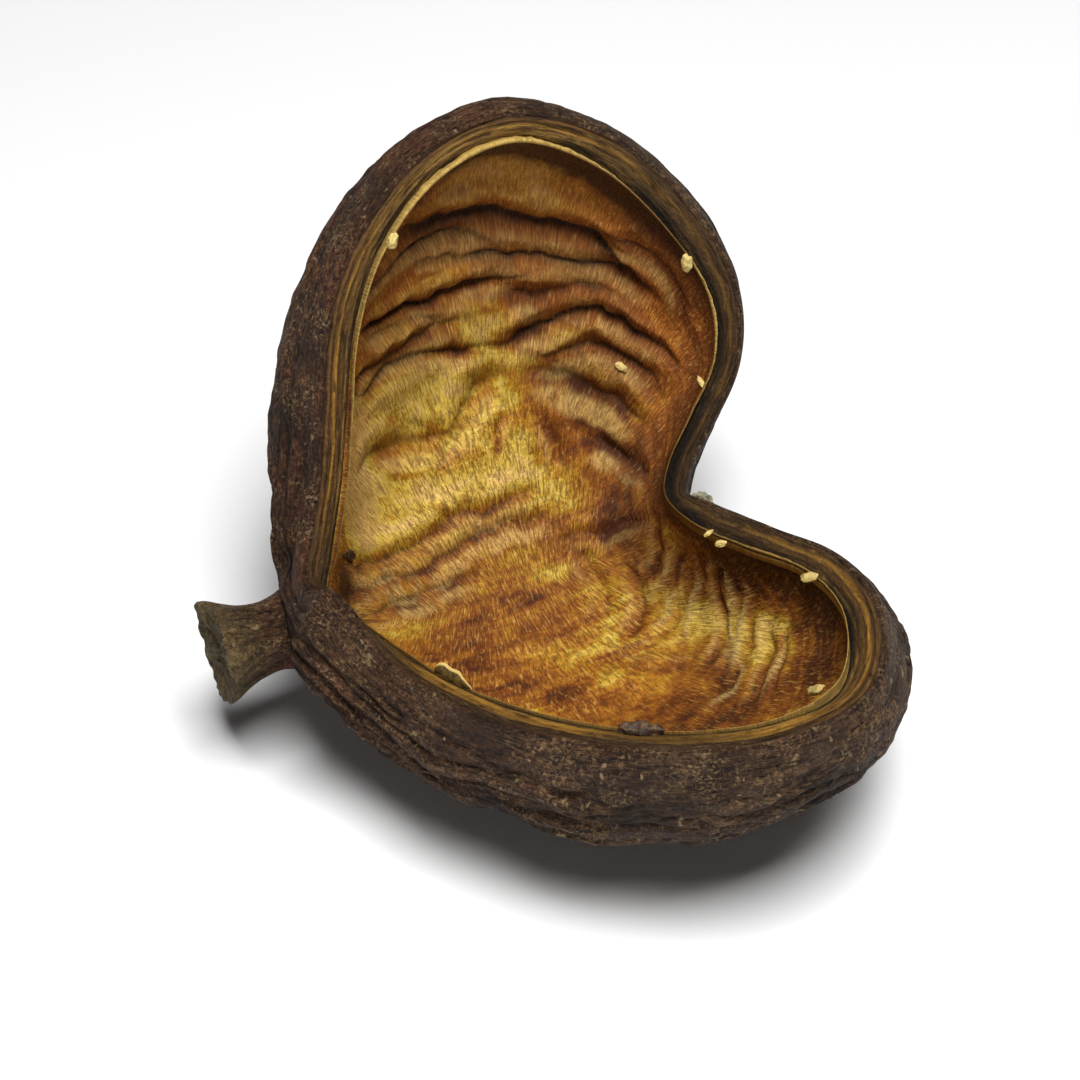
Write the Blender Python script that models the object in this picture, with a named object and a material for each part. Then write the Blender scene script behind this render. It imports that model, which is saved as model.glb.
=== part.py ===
"""An open, dried wild almond pod, lying on its back.

The pod grew as one woody body: two bowl-shaped halves that stay joined along the back, a
thick rind with a grooved seam round its rim, a wrinkled lining, a short flared stalk, a
small beak, and the stubs that the seeds hung from.

It is laid out in millimetres in the pod's own frame: +X from the stalk to the beak along
the hinge line, +Y out over the upper half, +Z out of the hollow, and the origin at the
stalk's corner of the rim. Then it is turned to the way it lies, lower half on the ground
and upper half standing, with the middle of its box over the origin.
"""

import math

import bmesh
import bpy
import numpy as np
from mathutils import Euler, Matrix, Vector, noise

MM = 0.001

# Driving dimensions of the pod, in millimetres and degrees
HINGE_LENGTH = 61.5
HALF_RISE = 36.4
HINGE_ROUND = 5.0
HOLLOW_CENTRE = Vector((36.0, 0.0, -27.5))
BACK_THICKNESS = 5.5
FLOOR_REACH = 25.0
HOLLOW_SIDE = 22.0

# The way the pod lies
ROLL = 25.4
YAW = 23.9
FLAT_SINK = 1.1

# Inner edge of the rim on each half: distance along the hinge line, distance out from it
UPPER_EDGE = (
    (3.0, 7.0),
    (6.5, 18.0),
    (9.5, 29.0),
    (13.5, 42.0),
    (21.0, 54.0),
    (34.0, 64.0),
    (48.0, 66.5),
    (61.0, 59.5),
    (71.0, 47.0),
    (77.0, 33.0),
    (76.0, 22.0),
    (69.5, 13.0),
    (64.0, 6.0),
)
LOWER_EDGE = (
    (2.0, 7.0),
    (5.0, 18.0),
    (8.5, 29.0),
    (14.0, 40.5),
    (24.0, 53.0),
    (36.0, 62.0),
    (49.0, 66.0),
    (61.0, 63.0),
    (68.5, 54.0),
    (73.0, 42.0),
    (72.5, 31.0),
    (67.0, 20.0),
    (62.5, 9.0),
)

# The rim's section: share of its width outwards from the lip, height above the edge
RIM_SECTION = (
    (0.00, 0.0),
    (0.09, 0.7),
    (0.20, -0.7),
    (0.40, -0.2),
    (0.60, 0.3),
    (0.84, -0.5),
    (1.00, -2.5),
)
RIM_WIDTH = 4.8
RIM_EXTRA_AT_LOBES = 2.2
RIM_EXTRA_LOWER_END = 1.8
RIM_EXTRA_UPPER_END = 2.0
RIM_EXTRA_AT_STALK = 1.5
RIM_EXTRA_AT_NOTCH = 2.0
SHOULDER_RISE = 6.5

# Folds of the lining: angle round the hollow and share of the way from its centre to the
# rim, at points along each fold, then the fold's depth and half width
FOLDS = (
    (((100, 0.78), (92, 0.73), (84, 0.70), (72, 0.69), (62, 0.71), (53, 0.724), (40, 0.735)), 2.2, 2.4),
    (((111, 0.75), (101, 0.727), (93, 0.695), (83, 0.665), (75, 0.64)), 1.2, 1.5),
    (((86, 0.627), (76, 0.62), (68, 0.629), (59, 0.65), (52, 0.685), (38, 0.735)), 1.8, 1.7),
    (((112, 0.665), (104, 0.624), (96, 0.588), (88, 0.563), (80, 0.566), (66, 0.60)), 1.7, 1.7),
    (((74, 0.538), (66, 0.555), (60, 0.587), (54, 0.63), (48, 0.658), (43, 0.67)), 0.9, 1.7),
    (((120, 0.61), (112, 0.57), (104, 0.54), (96, 0.521), (86, 0.515)), 1.2, 1.6),
    (((120, 0.575), (104, 0.51), (96, 0.486), (86, 0.46), (76, 0.458), (68, 0.475)), 1.3, 1.5),
    (((72, 0.465), (61, 0.518), (54, 0.57), (47, 0.612), (40, 0.63), (33, 0.668), (27, 0.73)), 2.0, 1.8),
    (((66, 0.445), (58, 0.477), (51, 0.515), (45, 0.548), (39, 0.57), (27, 0.63)), 1.0, 1.7),
    (((64, 0.42), (56, 0.445), (48, 0.458), (40, 0.48), (32, 0.497), (25, 0.546)), 1.0, 1.8),
    (((12, 0.34), (7, 0.45), (2, 0.65), (0, 0.80)), 0.8, 2.2),
    (((-5, 0.72), (-11, 0.61), (-17, 0.49), (-24, 0.37)), 1.3, 2.2),
    (((-14, 0.74), (-19, 0.607), (-26, 0.50), (-33, 0.41), (-39, 0.335)), 1.3, 2.2),
    (((-29, 0.67), (-37, 0.54), (-42, 0.496), (-47, 0.44)), 1.1, 2.4),
    (((-36, 0.70), (-41, 0.63), (-47, 0.58), (-53, 0.56)), 1.0, 1.9),
    (((172, 0.617), (161, 0.369), (138, 0.231), (110, 0.185), (85, 0.177)), 0.7, 2.0),
    (((133, 0.479), (125, 0.46), (116, 0.41), (105, 0.365), (93, 0.342)), 0.7, 1.8),
)
WELT_SHARE = 0.5

# Stubs that the seeds hung from: angle round the rim, how far down the wall, tilt
STUBS = (
    (112, 0.0, 20),
    (45, 0.0, -35),
    (23, 0.6, 50),
    (-17, 0.8, 30),
    (-33, 0.2, 0),
    (-62, 0.6, 10),
    (-146, 0.4, -20),
    (-104, 0.6, 15),
)
STUB_SIZE = (1.7, 1.1, 1.0)

# The stalk, from its root in the wall to its torn end: distance along, height, radius, ridges
STALK_SECTIONS = (
    (1.5, -11.0, 3.5, 0.00),
    (-1.5, -9.6, 6.6, 0.02),
    (-4.0, -9.2, 7.9, 0.03),
    (-6.5, -8.9, 6.8, 0.05),
    (-9.5, -8.8, 5.8, 0.06),
    (-13.0, -8.9, 6.0, 0.07),
    (-16.0, -9.1, 7.1, 0.08),
    (-18.5, -9.3, 8.5, 0.09),
    (-19.8, -9.4, 8.6, 0.10),
)
STALK_SIDE = -1.0
STALK_SIDES = 25
STALK_RIDGES = 5
STALK_TORN_DEPTH = 1.5
STALK_TORN_STEP = 0.7

SEGMENTS = 84
FIRST_RING = 0.1
OUTER_RINGS = 19

COLOURS = {
    "rind": ((0.075, 0.043, 0.028), 0.62),
    "seam": ((0.30, 0.19, 0.07), 0.55),
    "lining": ((0.50, 0.27, 0.07), 0.42),
}
MATERIAL_ORDER = ("rind", "seam", "lining")


def clear_scene():
    """Removes whatever the scene holds."""
    for thing in list(bpy.data.objects):
        bpy.data.objects.remove(thing)


def material(name):
    """A plain finish of the pod."""
    colour, roughness = COLOURS[name]
    made = bpy.data.materials.new(name)
    made.use_nodes = True
    shader = made.node_tree.nodes["Principled BSDF"]
    shader.inputs["Base Color"].default_value = (*colour, 1.0)
    shader.inputs["Roughness"].default_value = roughness
    shader.inputs["Metallic"].default_value = 0.0
    return made


def hermite(points, closed, steps):
    """Points on a smooth curve through the given ones, with the corners' spacing kept even."""
    count = len(points)
    spans = count if closed else count - 1
    found = []
    for i in range(spans):
        if closed:
            before, start, end, after = (points[(i + k) % count] for k in (-1, 0, 1, 2))
        else:
            before, start, end, after = (
                points[min(max(i + k, 0), count - 1)] for k in (-1, 0, 1, 2)
            )
        gaps = [max(np.linalg.norm(b - a), 1e-6) ** 0.5 for a, b in
                ((before, start), (start, end), (end, after))]
        leave = end - start + gaps[1] * ((start - before) / gaps[0] - (end - before) / (gaps[0] + gaps[1]))
        arrive = end - start + gaps[1] * ((after - end) / gaps[2] - (after - start) / (gaps[1] + gaps[2]))
        t = np.linspace(0.0, 1.0, steps, endpoint=False)[:, None]
        found.append(
            (2 * t**3 - 3 * t**2 + 1) * start
            + (t**3 - 2 * t**2 + t) * leave
            + (3 * t**2 - 2 * t**3) * end
            + (t**3 - t**2) * arrive
        )
    found.append(points[:1] if closed else points[-1:])
    return np.vstack(found)


def evenly(curve, count):
    """The closed curve's points, spaced half by length and half by angle round the hollow."""
    turn = np.unwrap(np.arctan2(curve[:, 1], curve[:, 0] - HOLLOW_CENTRE.x))
    steps = np.linalg.norm(np.diff(curve, axis=0), axis=1)
    turns = np.abs(np.diff(turn))
    along = np.concatenate(([0.0], np.cumsum(steps / steps.sum() + turns / turns.sum())))
    wanted = np.linspace(0.0, along[-1], count, endpoint=False)
    return np.stack([np.interp(wanted, along, curve[:, k]) for k in range(3)], axis=1)


def on_half(along, out, side):
    """A point of one half's rim, with the half raised about the rounded hinge line."""
    rise = math.radians(HALF_RISE)
    raised = math.hypot(out, HINGE_ROUND) - HINGE_ROUND
    return (along, side * out * math.cos(rise), raised * math.sin(rise))


def bump(value, middle, width):
    """A smooth bump of height 1."""
    return np.exp(-(((value - middle) / width) ** 2))


class Rim:
    """The rim's inner edge and, at each of its points, the directions and the widths."""

    def __init__(self, count):
        corners = [(0.0, 0.0, 0.0)]
        corners += [on_half(along, out, 1) for along, out in UPPER_EDGE]
        corners += [(HINGE_LENGTH, 0.0, 0.0)]
        corners += [on_half(along, out, -1) for along, out in reversed(LOWER_EDGE)]
        self.edge = evenly(hermite(np.array(corners), True, 40), count)
        run = np.roll(self.edge, -1, axis=0) - np.roll(self.edge, 1, axis=0)
        run /= np.linalg.norm(run, axis=1)[:, None]
        lean = np.tanh(self.edge[:, 1] / 9.0) * math.sin(math.radians(HALF_RISE))
        self.up = np.stack([0 * lean, -lean, np.sqrt(1 - lean**2)], axis=1)
        self.out = np.cross(self.up, run)
        self.out /= np.linalg.norm(self.out, axis=1)[:, None]
        centre = np.array(HOLLOW_CENTRE)
        self.angle = np.degrees(
            np.arctan2(self.edge[:, 1], self.edge[:, 0] - centre[0])
        )
        turn = np.abs(self.angle)
        self.lobe = np.sin(np.radians(turn)) ** 2
        self.stalk_side = bump(turn, 150, 28)
        self.beak_side = bump(turn, 36, 28)
        below = np.where(self.angle < 0, 1.0, 0.0)
        self.lower = below * np.clip(turn / 12, 0, 1) * np.clip((180 - turn) / 6, 0, 1)
        shoulder = bump(turn, 171, 19)
        self.upper = 1 - self.lower
        notch_side = bump(turn, 22, 18)
        by_stalk = np.maximum(below, np.clip((turn - 162) / 18, 0, 1))
        self.raised = SHOULDER_RISE * shoulder * by_stalk
        self.width = (
            RIM_WIDTH
            + RIM_EXTRA_AT_LOBES * self.lobe
            + RIM_EXTRA_LOWER_END * self.beak_side * self.lower
            + RIM_EXTRA_UPPER_END * bump(turn, 55, 28) * self.upper
            + RIM_EXTRA_AT_STALK * shoulder * (1 + self.lower)
            + RIM_EXTRA_AT_NOTCH * notch_side * self.lower
        )
        flat = self.edge[:, :2] - centre[:2]
        self.reach = np.hypot(flat[:, 0], flat[:, 1]) + HOLLOW_SIDE

    def on_disc(self, angle, share):
        """A place in the hollow as a point of a flat disc with much the same distances."""
        turn = np.radians(angle)
        length = share * np.interp(angle, self.angle, self.reach, period=360)
        return np.stack([length * np.cos(turn), length * np.sin(turn)], axis=-1)

    def section(self, share, height):
        """The ring at that place of the rim's section."""
        rise = height + self.raised * share * share * (3 - 2 * share)
        return (
            self.edge
            + self.out * (self.width * share)[:, None]
            + self.up * rise[:, None]
        )


def spokes(rim, end, start, reach, depth, bulge, shares):
    """Rings of points on curved spokes that leave the centre level and meet the rim square."""
    level = end - start
    level[:, 2] = 0.0
    length = np.linalg.norm(level, axis=1)[:, None]
    leave = start + level / length * np.minimum(reach, 0.95 * length)
    arrive = end - rim.up * depth[:, None] + rim.out * bulge[:, None]
    t = np.asarray(shares)[:, None, None]
    return (
        (1 - t) ** 3 * start
        + 3 * (1 - t) ** 2 * t * leave
        + 3 * (1 - t) * t**2 * arrive
        + t**3 * end
    )


def inner_rings(rim, shares):
    """The hollow's wall, before its folds."""
    depth = 9 + 14 * rim.lobe
    bulge = 2 + 5 * rim.stalk_side + 3 * rim.beak_side * rim.lower
    start = np.array(HOLLOW_CENTRE)
    return spokes(rim, rim.edge, start, FLOOR_REACH, depth, bulge, shares)


def outer_rings(rim, shares):
    """The rind's outside, before its ridges."""
    depth = 9 + 20 * rim.lobe + 2 * rim.lobe * rim.lower
    bulge = (
        4
        + (8.5 + rim.upper) * rim.stalk_side
        + 5.5 * rim.lobe * rim.upper
        + (3 + 10 * rim.lower) * rim.beak_side
    )
    start = np.array(HOLLOW_CENTRE) - np.array((0, 0, BACK_THICKNESS))
    end = rim.section(*RIM_SECTION[-1])
    return spokes(rim, end, start, FLOOR_REACH + 3.0, depth, bulge, shares)


def normals(rings):
    """Directions square to a surface given as rings, away from the hollow."""
    across = np.gradient(rings, axis=0)
    around = np.roll(rings, -1, axis=1) - np.roll(rings, 1, axis=1)
    found = np.cross(across, around)
    return found / np.maximum(np.linalg.norm(found, axis=2), 1e-9)[..., None]


def fold_relief(rim, angle, share):
    """Height of the lining's folds: furrows with a rounded welt along each side."""
    places = rim.on_disc(angle, share).reshape(-1, 2)
    height = np.zeros(len(places))
    for points, depth, width in FOLDS:
        ends = np.array(points, dtype=float)
        line = hermite(rim.on_disc(ends[:, 0], ends[:, 1]), False, 8)
        away = places[:, None, :] - line[None, :, :]
        nearest = np.argmin((away**2).sum(axis=2), axis=1)
        offset = away[np.arange(len(places)), nearest]
        distance = np.linalg.norm(offset, axis=1)
        along = np.minimum(nearest, len(line) - 1 - nearest) / (0.22 * len(line))
        fade = np.clip(along + 0.1, 0, 1)
        welt = WELT_SHARE * bump(distance, 2.3 * width, 1.3 * width)
        height += depth * fade * (welt - bump(distance, 0.0, width))
    return height.reshape(np.shape(share))


def rind_relief(rings, shares, rim):
    """Height of the rind's long ridges, which run round the pod, and of its lumps."""
    share, angle = np.meshgrid(shares, rim.angle, indexing="ij")
    height = np.zeros(share.shape)
    for place in np.ndindex(share.shape):
        point = Vector(rings[place])
        lump = noise.noise(point / 15.0)
        wander = noise.noise(point / 22.0 + Vector((7.0, 0.0, 3.0)))
        ridge = math.sin(2 * math.pi * (7.5 * share[place] + 1.6 * wander))
        height[place] = 0.9 * lump + 0.85 * ridge
    spacing = np.linalg.norm(np.roll(rings, -1, axis=1) - rings, axis=2)
    room = np.clip((spacing - 0.8) / 2.2, 0, 1)
    return height * room * np.clip((1 - share) / 0.08, 0, 1)


def ring_shares():
    """Shares of the way to the rim, close together where the lining is folded."""
    sparse = np.linspace(FIRST_RING, 0.43, 8, endpoint=False)
    close = np.linspace(0.43, 0.80, 22, endpoint=False)
    steep = np.linspace(0.80, 1.0, 6)
    return np.concatenate([sparse, close, steep])


def husk_mesh():
    """The two halves as one closed mesh: the hollow's wall, the rim and the outside."""
    rim = Rim(SEGMENTS)
    shares = ring_shares()
    inner = inner_rings(rim, shares)
    share, angle = np.meshgrid(shares, rim.angle, indexing="ij")
    ease = np.clip((1 - share) / 0.06, 0, 1)
    inner -= normals(inner) * (fold_relief(rim, angle, share) * ease)[..., None]
    seam = np.stack([rim.section(*place) for place in RIM_SECTION[1:]])
    outer_shares = np.linspace(FIRST_RING, 1.0, OUTER_RINGS + 1)
    outer = outer_rings(rim, outer_shares)
    outer += normals(outer) * rind_relief(outer, outer_shares, rim)[..., None]
    rings = [*inner, *seam, *outer[-2::-1]]
    lining_rings = len(inner)
    seam_rings = lining_rings + len(seam) - 2

    mesh = bmesh.new()
    loops = [[mesh.verts.new(point) for point in ring] for ring in rings]
    for level, (low, high) in enumerate(zip(loops, loops[1:])):
        if level < lining_rings - 1:
            finish = 2
        elif level < seam_rings:
            finish = 1
        else:
            finish = 0
        for i in range(SEGMENTS):
            j = (i + 1) % SEGMENTS
            face = mesh.faces.new((low[i], low[j], high[j], high[i]))
            face.material_index = finish
    for loop, finish in ((loops[0][::-1], 2), (loops[-1], 0)):
        middle = mesh.verts.new(sum((v.co for v in loop), Vector()) / SEGMENTS)
        for i in range(SEGMENTS):
            face = mesh.faces.new((loop[i], loop[(i + 1) % SEGMENTS], middle))
            face.material_index = finish
    bmesh.ops.triangulate(mesh, faces=[f for f in mesh.faces if len(f.verts) > 3])
    return mesh


def stalk_mesh():
    """The stalk: ridged sections along a slightly drooping line, with a torn, hollowed end."""
    mesh = bmesh.new()
    loops = []
    end, end_level = STALK_SECTIONS[-1][:2]
    for along, level, radius, ridge in STALK_SECTIONS:
        loop = []
        for i in range(STALK_SIDES):
            turn = 2 * math.pi * i / STALK_SIDES
            ridged = math.cos(STALK_RIDGES * turn + 0.8) + 0.4 * math.cos(2 * turn + 1.9)
            size = radius * (1 + ridge * ridged)
            torn = STALK_TORN_STEP * ridged if along == end else 0.0
            across = STALK_SIDE + size * math.cos(turn)
            loop.append(mesh.verts.new((along - torn, across, level + size * math.sin(turn))))
        loops.append(loop)
    for low, high in zip(loops, loops[1:]):
        for i in range(STALK_SIDES):
            j = (i + 1) % STALK_SIDES
            mesh.faces.new((low[i], low[j], high[j], high[i]))
    mesh.faces.new(reversed(loops[0]))
    pit = mesh.verts.new((end + STALK_TORN_DEPTH, STALK_SIDE, end_level))
    for i in range(STALK_SIDES):
        mesh.faces.new((loops[-1][i], loops[-1][(i + 1) % STALK_SIDES], pit))
    bmesh.ops.triangulate(mesh, faces=[f for f in mesh.faces if len(f.verts) > 3])
    bmesh.ops.recalc_face_normals(mesh, faces=mesh.faces)
    return mesh


def grain_mesh(size, place, direction, tilt):
    """A small rounded grain, sunk by its root into the wall."""
    mesh = bmesh.new()
    bmesh.ops.create_icosphere(mesh, subdivisions=1, radius=1.0)
    turned = Vector(direction).to_track_quat("Z", "Y").to_matrix().to_4x4()
    turned = turned @ Matrix.Rotation(math.radians(tilt), 4, "Z")
    stretched = Matrix.Diagonal((size[0], size[1], size[2], 1.0))
    bmesh.ops.transform(
        mesh, matrix=Matrix.Translation(place) @ turned @ stretched, verts=mesh.verts
    )
    return mesh


def stub_meshes():
    """The stubs along the inside of the rim, each with its root in the wall."""
    rim = Rim(SEGMENTS * 4)
    made = []
    for angle, down, tilt in STUBS:
        i = int(np.argmin(np.abs(rim.angle - angle)))
        place = rim.edge[i] - rim.up[i] * (down + 0.2) - rim.out[i] * 0.2
        made.append(grain_mesh(STUB_SIZE, Vector(place), rim.up[i] - rim.out[i], tilt))
    return made


def beak_mesh():
    """The small dried beak behind the notch of the rim."""
    place = Vector((HINGE_LENGTH + RIM_WIDTH + 1.8, -3.0, -1.0))
    return grain_mesh((2.4, 1.6, 2.0), place, Vector((0.8, 0.1, 0.6)), 25)


def finished(name, mesh, index):
    """An object of the mesh, with the pod's materials and one of them on all of its faces."""
    if index is not None:
        for face in mesh.faces:
            face.material_index = index
    data = bpy.data.meshes.new(name)
    mesh.to_mesh(data)
    mesh.free()
    for finish in MATERIAL_ORDER:
        data.materials.append(bpy.data.materials[finish])
    made = bpy.data.objects.new(name, data)
    bpy.context.scene.collection.objects.link(made)
    return made


def joined(base, grown):
    """Joins what grows from the pod to it with one union, and removes the loose pieces."""
    pieces = bpy.data.collections.new("grown_from_it")
    bpy.context.scene.collection.children.link(pieces)
    for piece in grown:
        bpy.context.scene.collection.objects.unlink(piece)
        pieces.objects.link(piece)
    union = base.modifiers.new("join", "BOOLEAN")
    union.operand_type = "COLLECTION"
    union.collection = pieces
    union.operation = "UNION"
    union.solver = "EXACT"
    graph = bpy.context.evaluated_depsgraph_get()
    whole = bpy.data.meshes.new_from_object(base.evaluated_get(graph))
    base.modifiers.clear()
    base.data = whole
    for piece in list(pieces.objects):
        bpy.data.objects.remove(piece)
    bpy.data.collections.remove(pieces)
    return base


def resting_shift(points):
    """The move that centres the lying pod's box over the origin and sets it on the ground."""
    low = points.min(axis=0)
    high = points.max(axis=0)
    middle = (low + high) / 2
    return -np.array((middle[0], middle[1], low[2] + FLAT_SINK))


def lie_down(pod):
    """Turns the pod to the way it lies, centres it, and flattens it where it rests."""
    turn = Euler((math.radians(ROLL), 0.0, math.radians(YAW))).to_matrix().to_4x4()
    pod.data.transform(turn)
    shift = resting_shift(np.array([v.co for v in pod.data.vertices]))
    for vertex in pod.data.vertices:
        vertex.co += Vector(shift)
        vertex.co.z = max(vertex.co.z, 0.0)
    pod.data.transform(Matrix.Scale(MM, 4))
    return shift


def main():
    clear_scene()
    for finish in MATERIAL_ORDER:
        material(finish)
    pod = finished("pod", husk_mesh(), None)
    grown = [finished("stalk", stalk_mesh(), 0), finished("beak", beak_mesh(), 0)]
    for number, mesh in enumerate(stub_meshes()):
        grown.append(finished(f"stub_{number}", mesh, 1))
    pod = joined(pod, grown)
    lie_down(pod)
    pod.data.shade_smooth()


main()
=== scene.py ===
"""The dressed model of an open, dried wild almond pod.

The pod is laid out in millimetres in its own frame, as its solid is: +X from the stalk to
the beak along the hinge line, +Y out over the upper half, +Z out of the hollow, and the
origin at the stalk's corner of the rim. Each piece is then turned to the way the pod lies.
"""

import math

import bmesh
import bpy
import numpy as np
from mathutils import Euler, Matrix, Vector


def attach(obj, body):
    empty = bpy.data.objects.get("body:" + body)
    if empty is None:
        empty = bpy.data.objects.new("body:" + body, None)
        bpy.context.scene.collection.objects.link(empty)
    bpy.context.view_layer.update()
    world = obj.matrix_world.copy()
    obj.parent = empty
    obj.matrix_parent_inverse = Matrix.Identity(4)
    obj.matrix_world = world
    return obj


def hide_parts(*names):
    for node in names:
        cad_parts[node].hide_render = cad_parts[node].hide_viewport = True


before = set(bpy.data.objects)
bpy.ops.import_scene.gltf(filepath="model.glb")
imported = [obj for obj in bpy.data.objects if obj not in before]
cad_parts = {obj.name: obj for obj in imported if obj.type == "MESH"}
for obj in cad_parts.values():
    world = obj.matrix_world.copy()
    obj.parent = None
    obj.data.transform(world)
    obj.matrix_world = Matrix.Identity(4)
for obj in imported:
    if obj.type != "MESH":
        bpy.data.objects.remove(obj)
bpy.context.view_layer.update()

bl_info = {
    "name": "Wild almond pod",
    "version": (1, 0, 0),
    "blender": (4, 5, 0),
    "location": "3D View > Sidebar > Pod",
    "description": "Builds an open, dried wild almond pod and a plain stage for it",
    "category": "Add Mesh",
}

NODE = "pod"
BODY = "root"
MM = 0.001

# The way the pod lies, in degrees, and the move that sets it on the ground, in millimetres
ROLL = 25.4
YAW = 23.9
SHIFT = (-35.6209, -10.2790, 32.2055)

# The solid's driving sizes, in millimetres and degrees
HINGE_LENGTH = 61.5
HALF_RISE = 36.4
HINGE_ROUND = 5.0
HOLLOW_CENTRE = np.array((36.0, 0.0, -27.5))
BACK_THICKNESS = 5.5
FLOOR_REACH = 25.0
OUTER_REACH = FLOOR_REACH + 3.0
HOLLOW_SIDE = 22.0

# Inner edge of the rim on each half: distance along the hinge line, distance out from it
UPPER_EDGE = (
    (3.0, 7.0),
    (7.5, 18.0),
    (10.8, 29.0),
    (14.8, 42.0),
    (21.8, 54.0),
    (34.3, 64.0),
    (48.0, 66.5),
    (61.0, 59.5),
    (71.0, 47.0),
    (77.0, 33.0),
    (76.0, 22.0),
    (69.5, 13.0),
    (64.0, 6.0),
)
LOWER_EDGE = (
    (2.0, 7.0),
    (5.0, 18.0),
    (8.5, 29.0),
    (14.0, 40.5),
    (24.0, 53.0),
    (36.0, 62.0),
    (49.0, 66.0),
    (61.0, 63.0),
    (68.5, 54.0),
    (73.0, 42.0),
    (72.5, 31.0),
    (67.0, 20.0),
    (62.5, 9.0),
)

# The rim's section behind the lining's lip: share of its width, height above the edge
RIM_SECTION = (
    (0.05, -1.8),
    (0.11, -1.5),
    (0.17, -1.2),
    (0.27, -0.55),
    (0.38, -0.35),
    (0.47, -0.15),
    (0.55, 0.35),
    (0.61, 0.40),
    (0.66, -0.15),
    (0.72, 0.25),
    (0.82, 0.10),
    (0.90, -0.60),
    (1.00, -2.50),
)
RIM_WIDTH = 4.8
RIM_EXTRA_AT_LOBES = 2.2
RIM_LESS_AT_TOP = 1.1
RIM_EXTRA_AT_LEFT = 1.9
RIM_EXTRA_LOWER_END = 1.9
RIM_EXTRA_UPPER_END = 2.3
RIM_EXTRA_AT_STALK = 1.5
RIM_EXTRA_AT_NOTCH = 2.0
SHOULDER_RISE = 11.0

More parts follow.
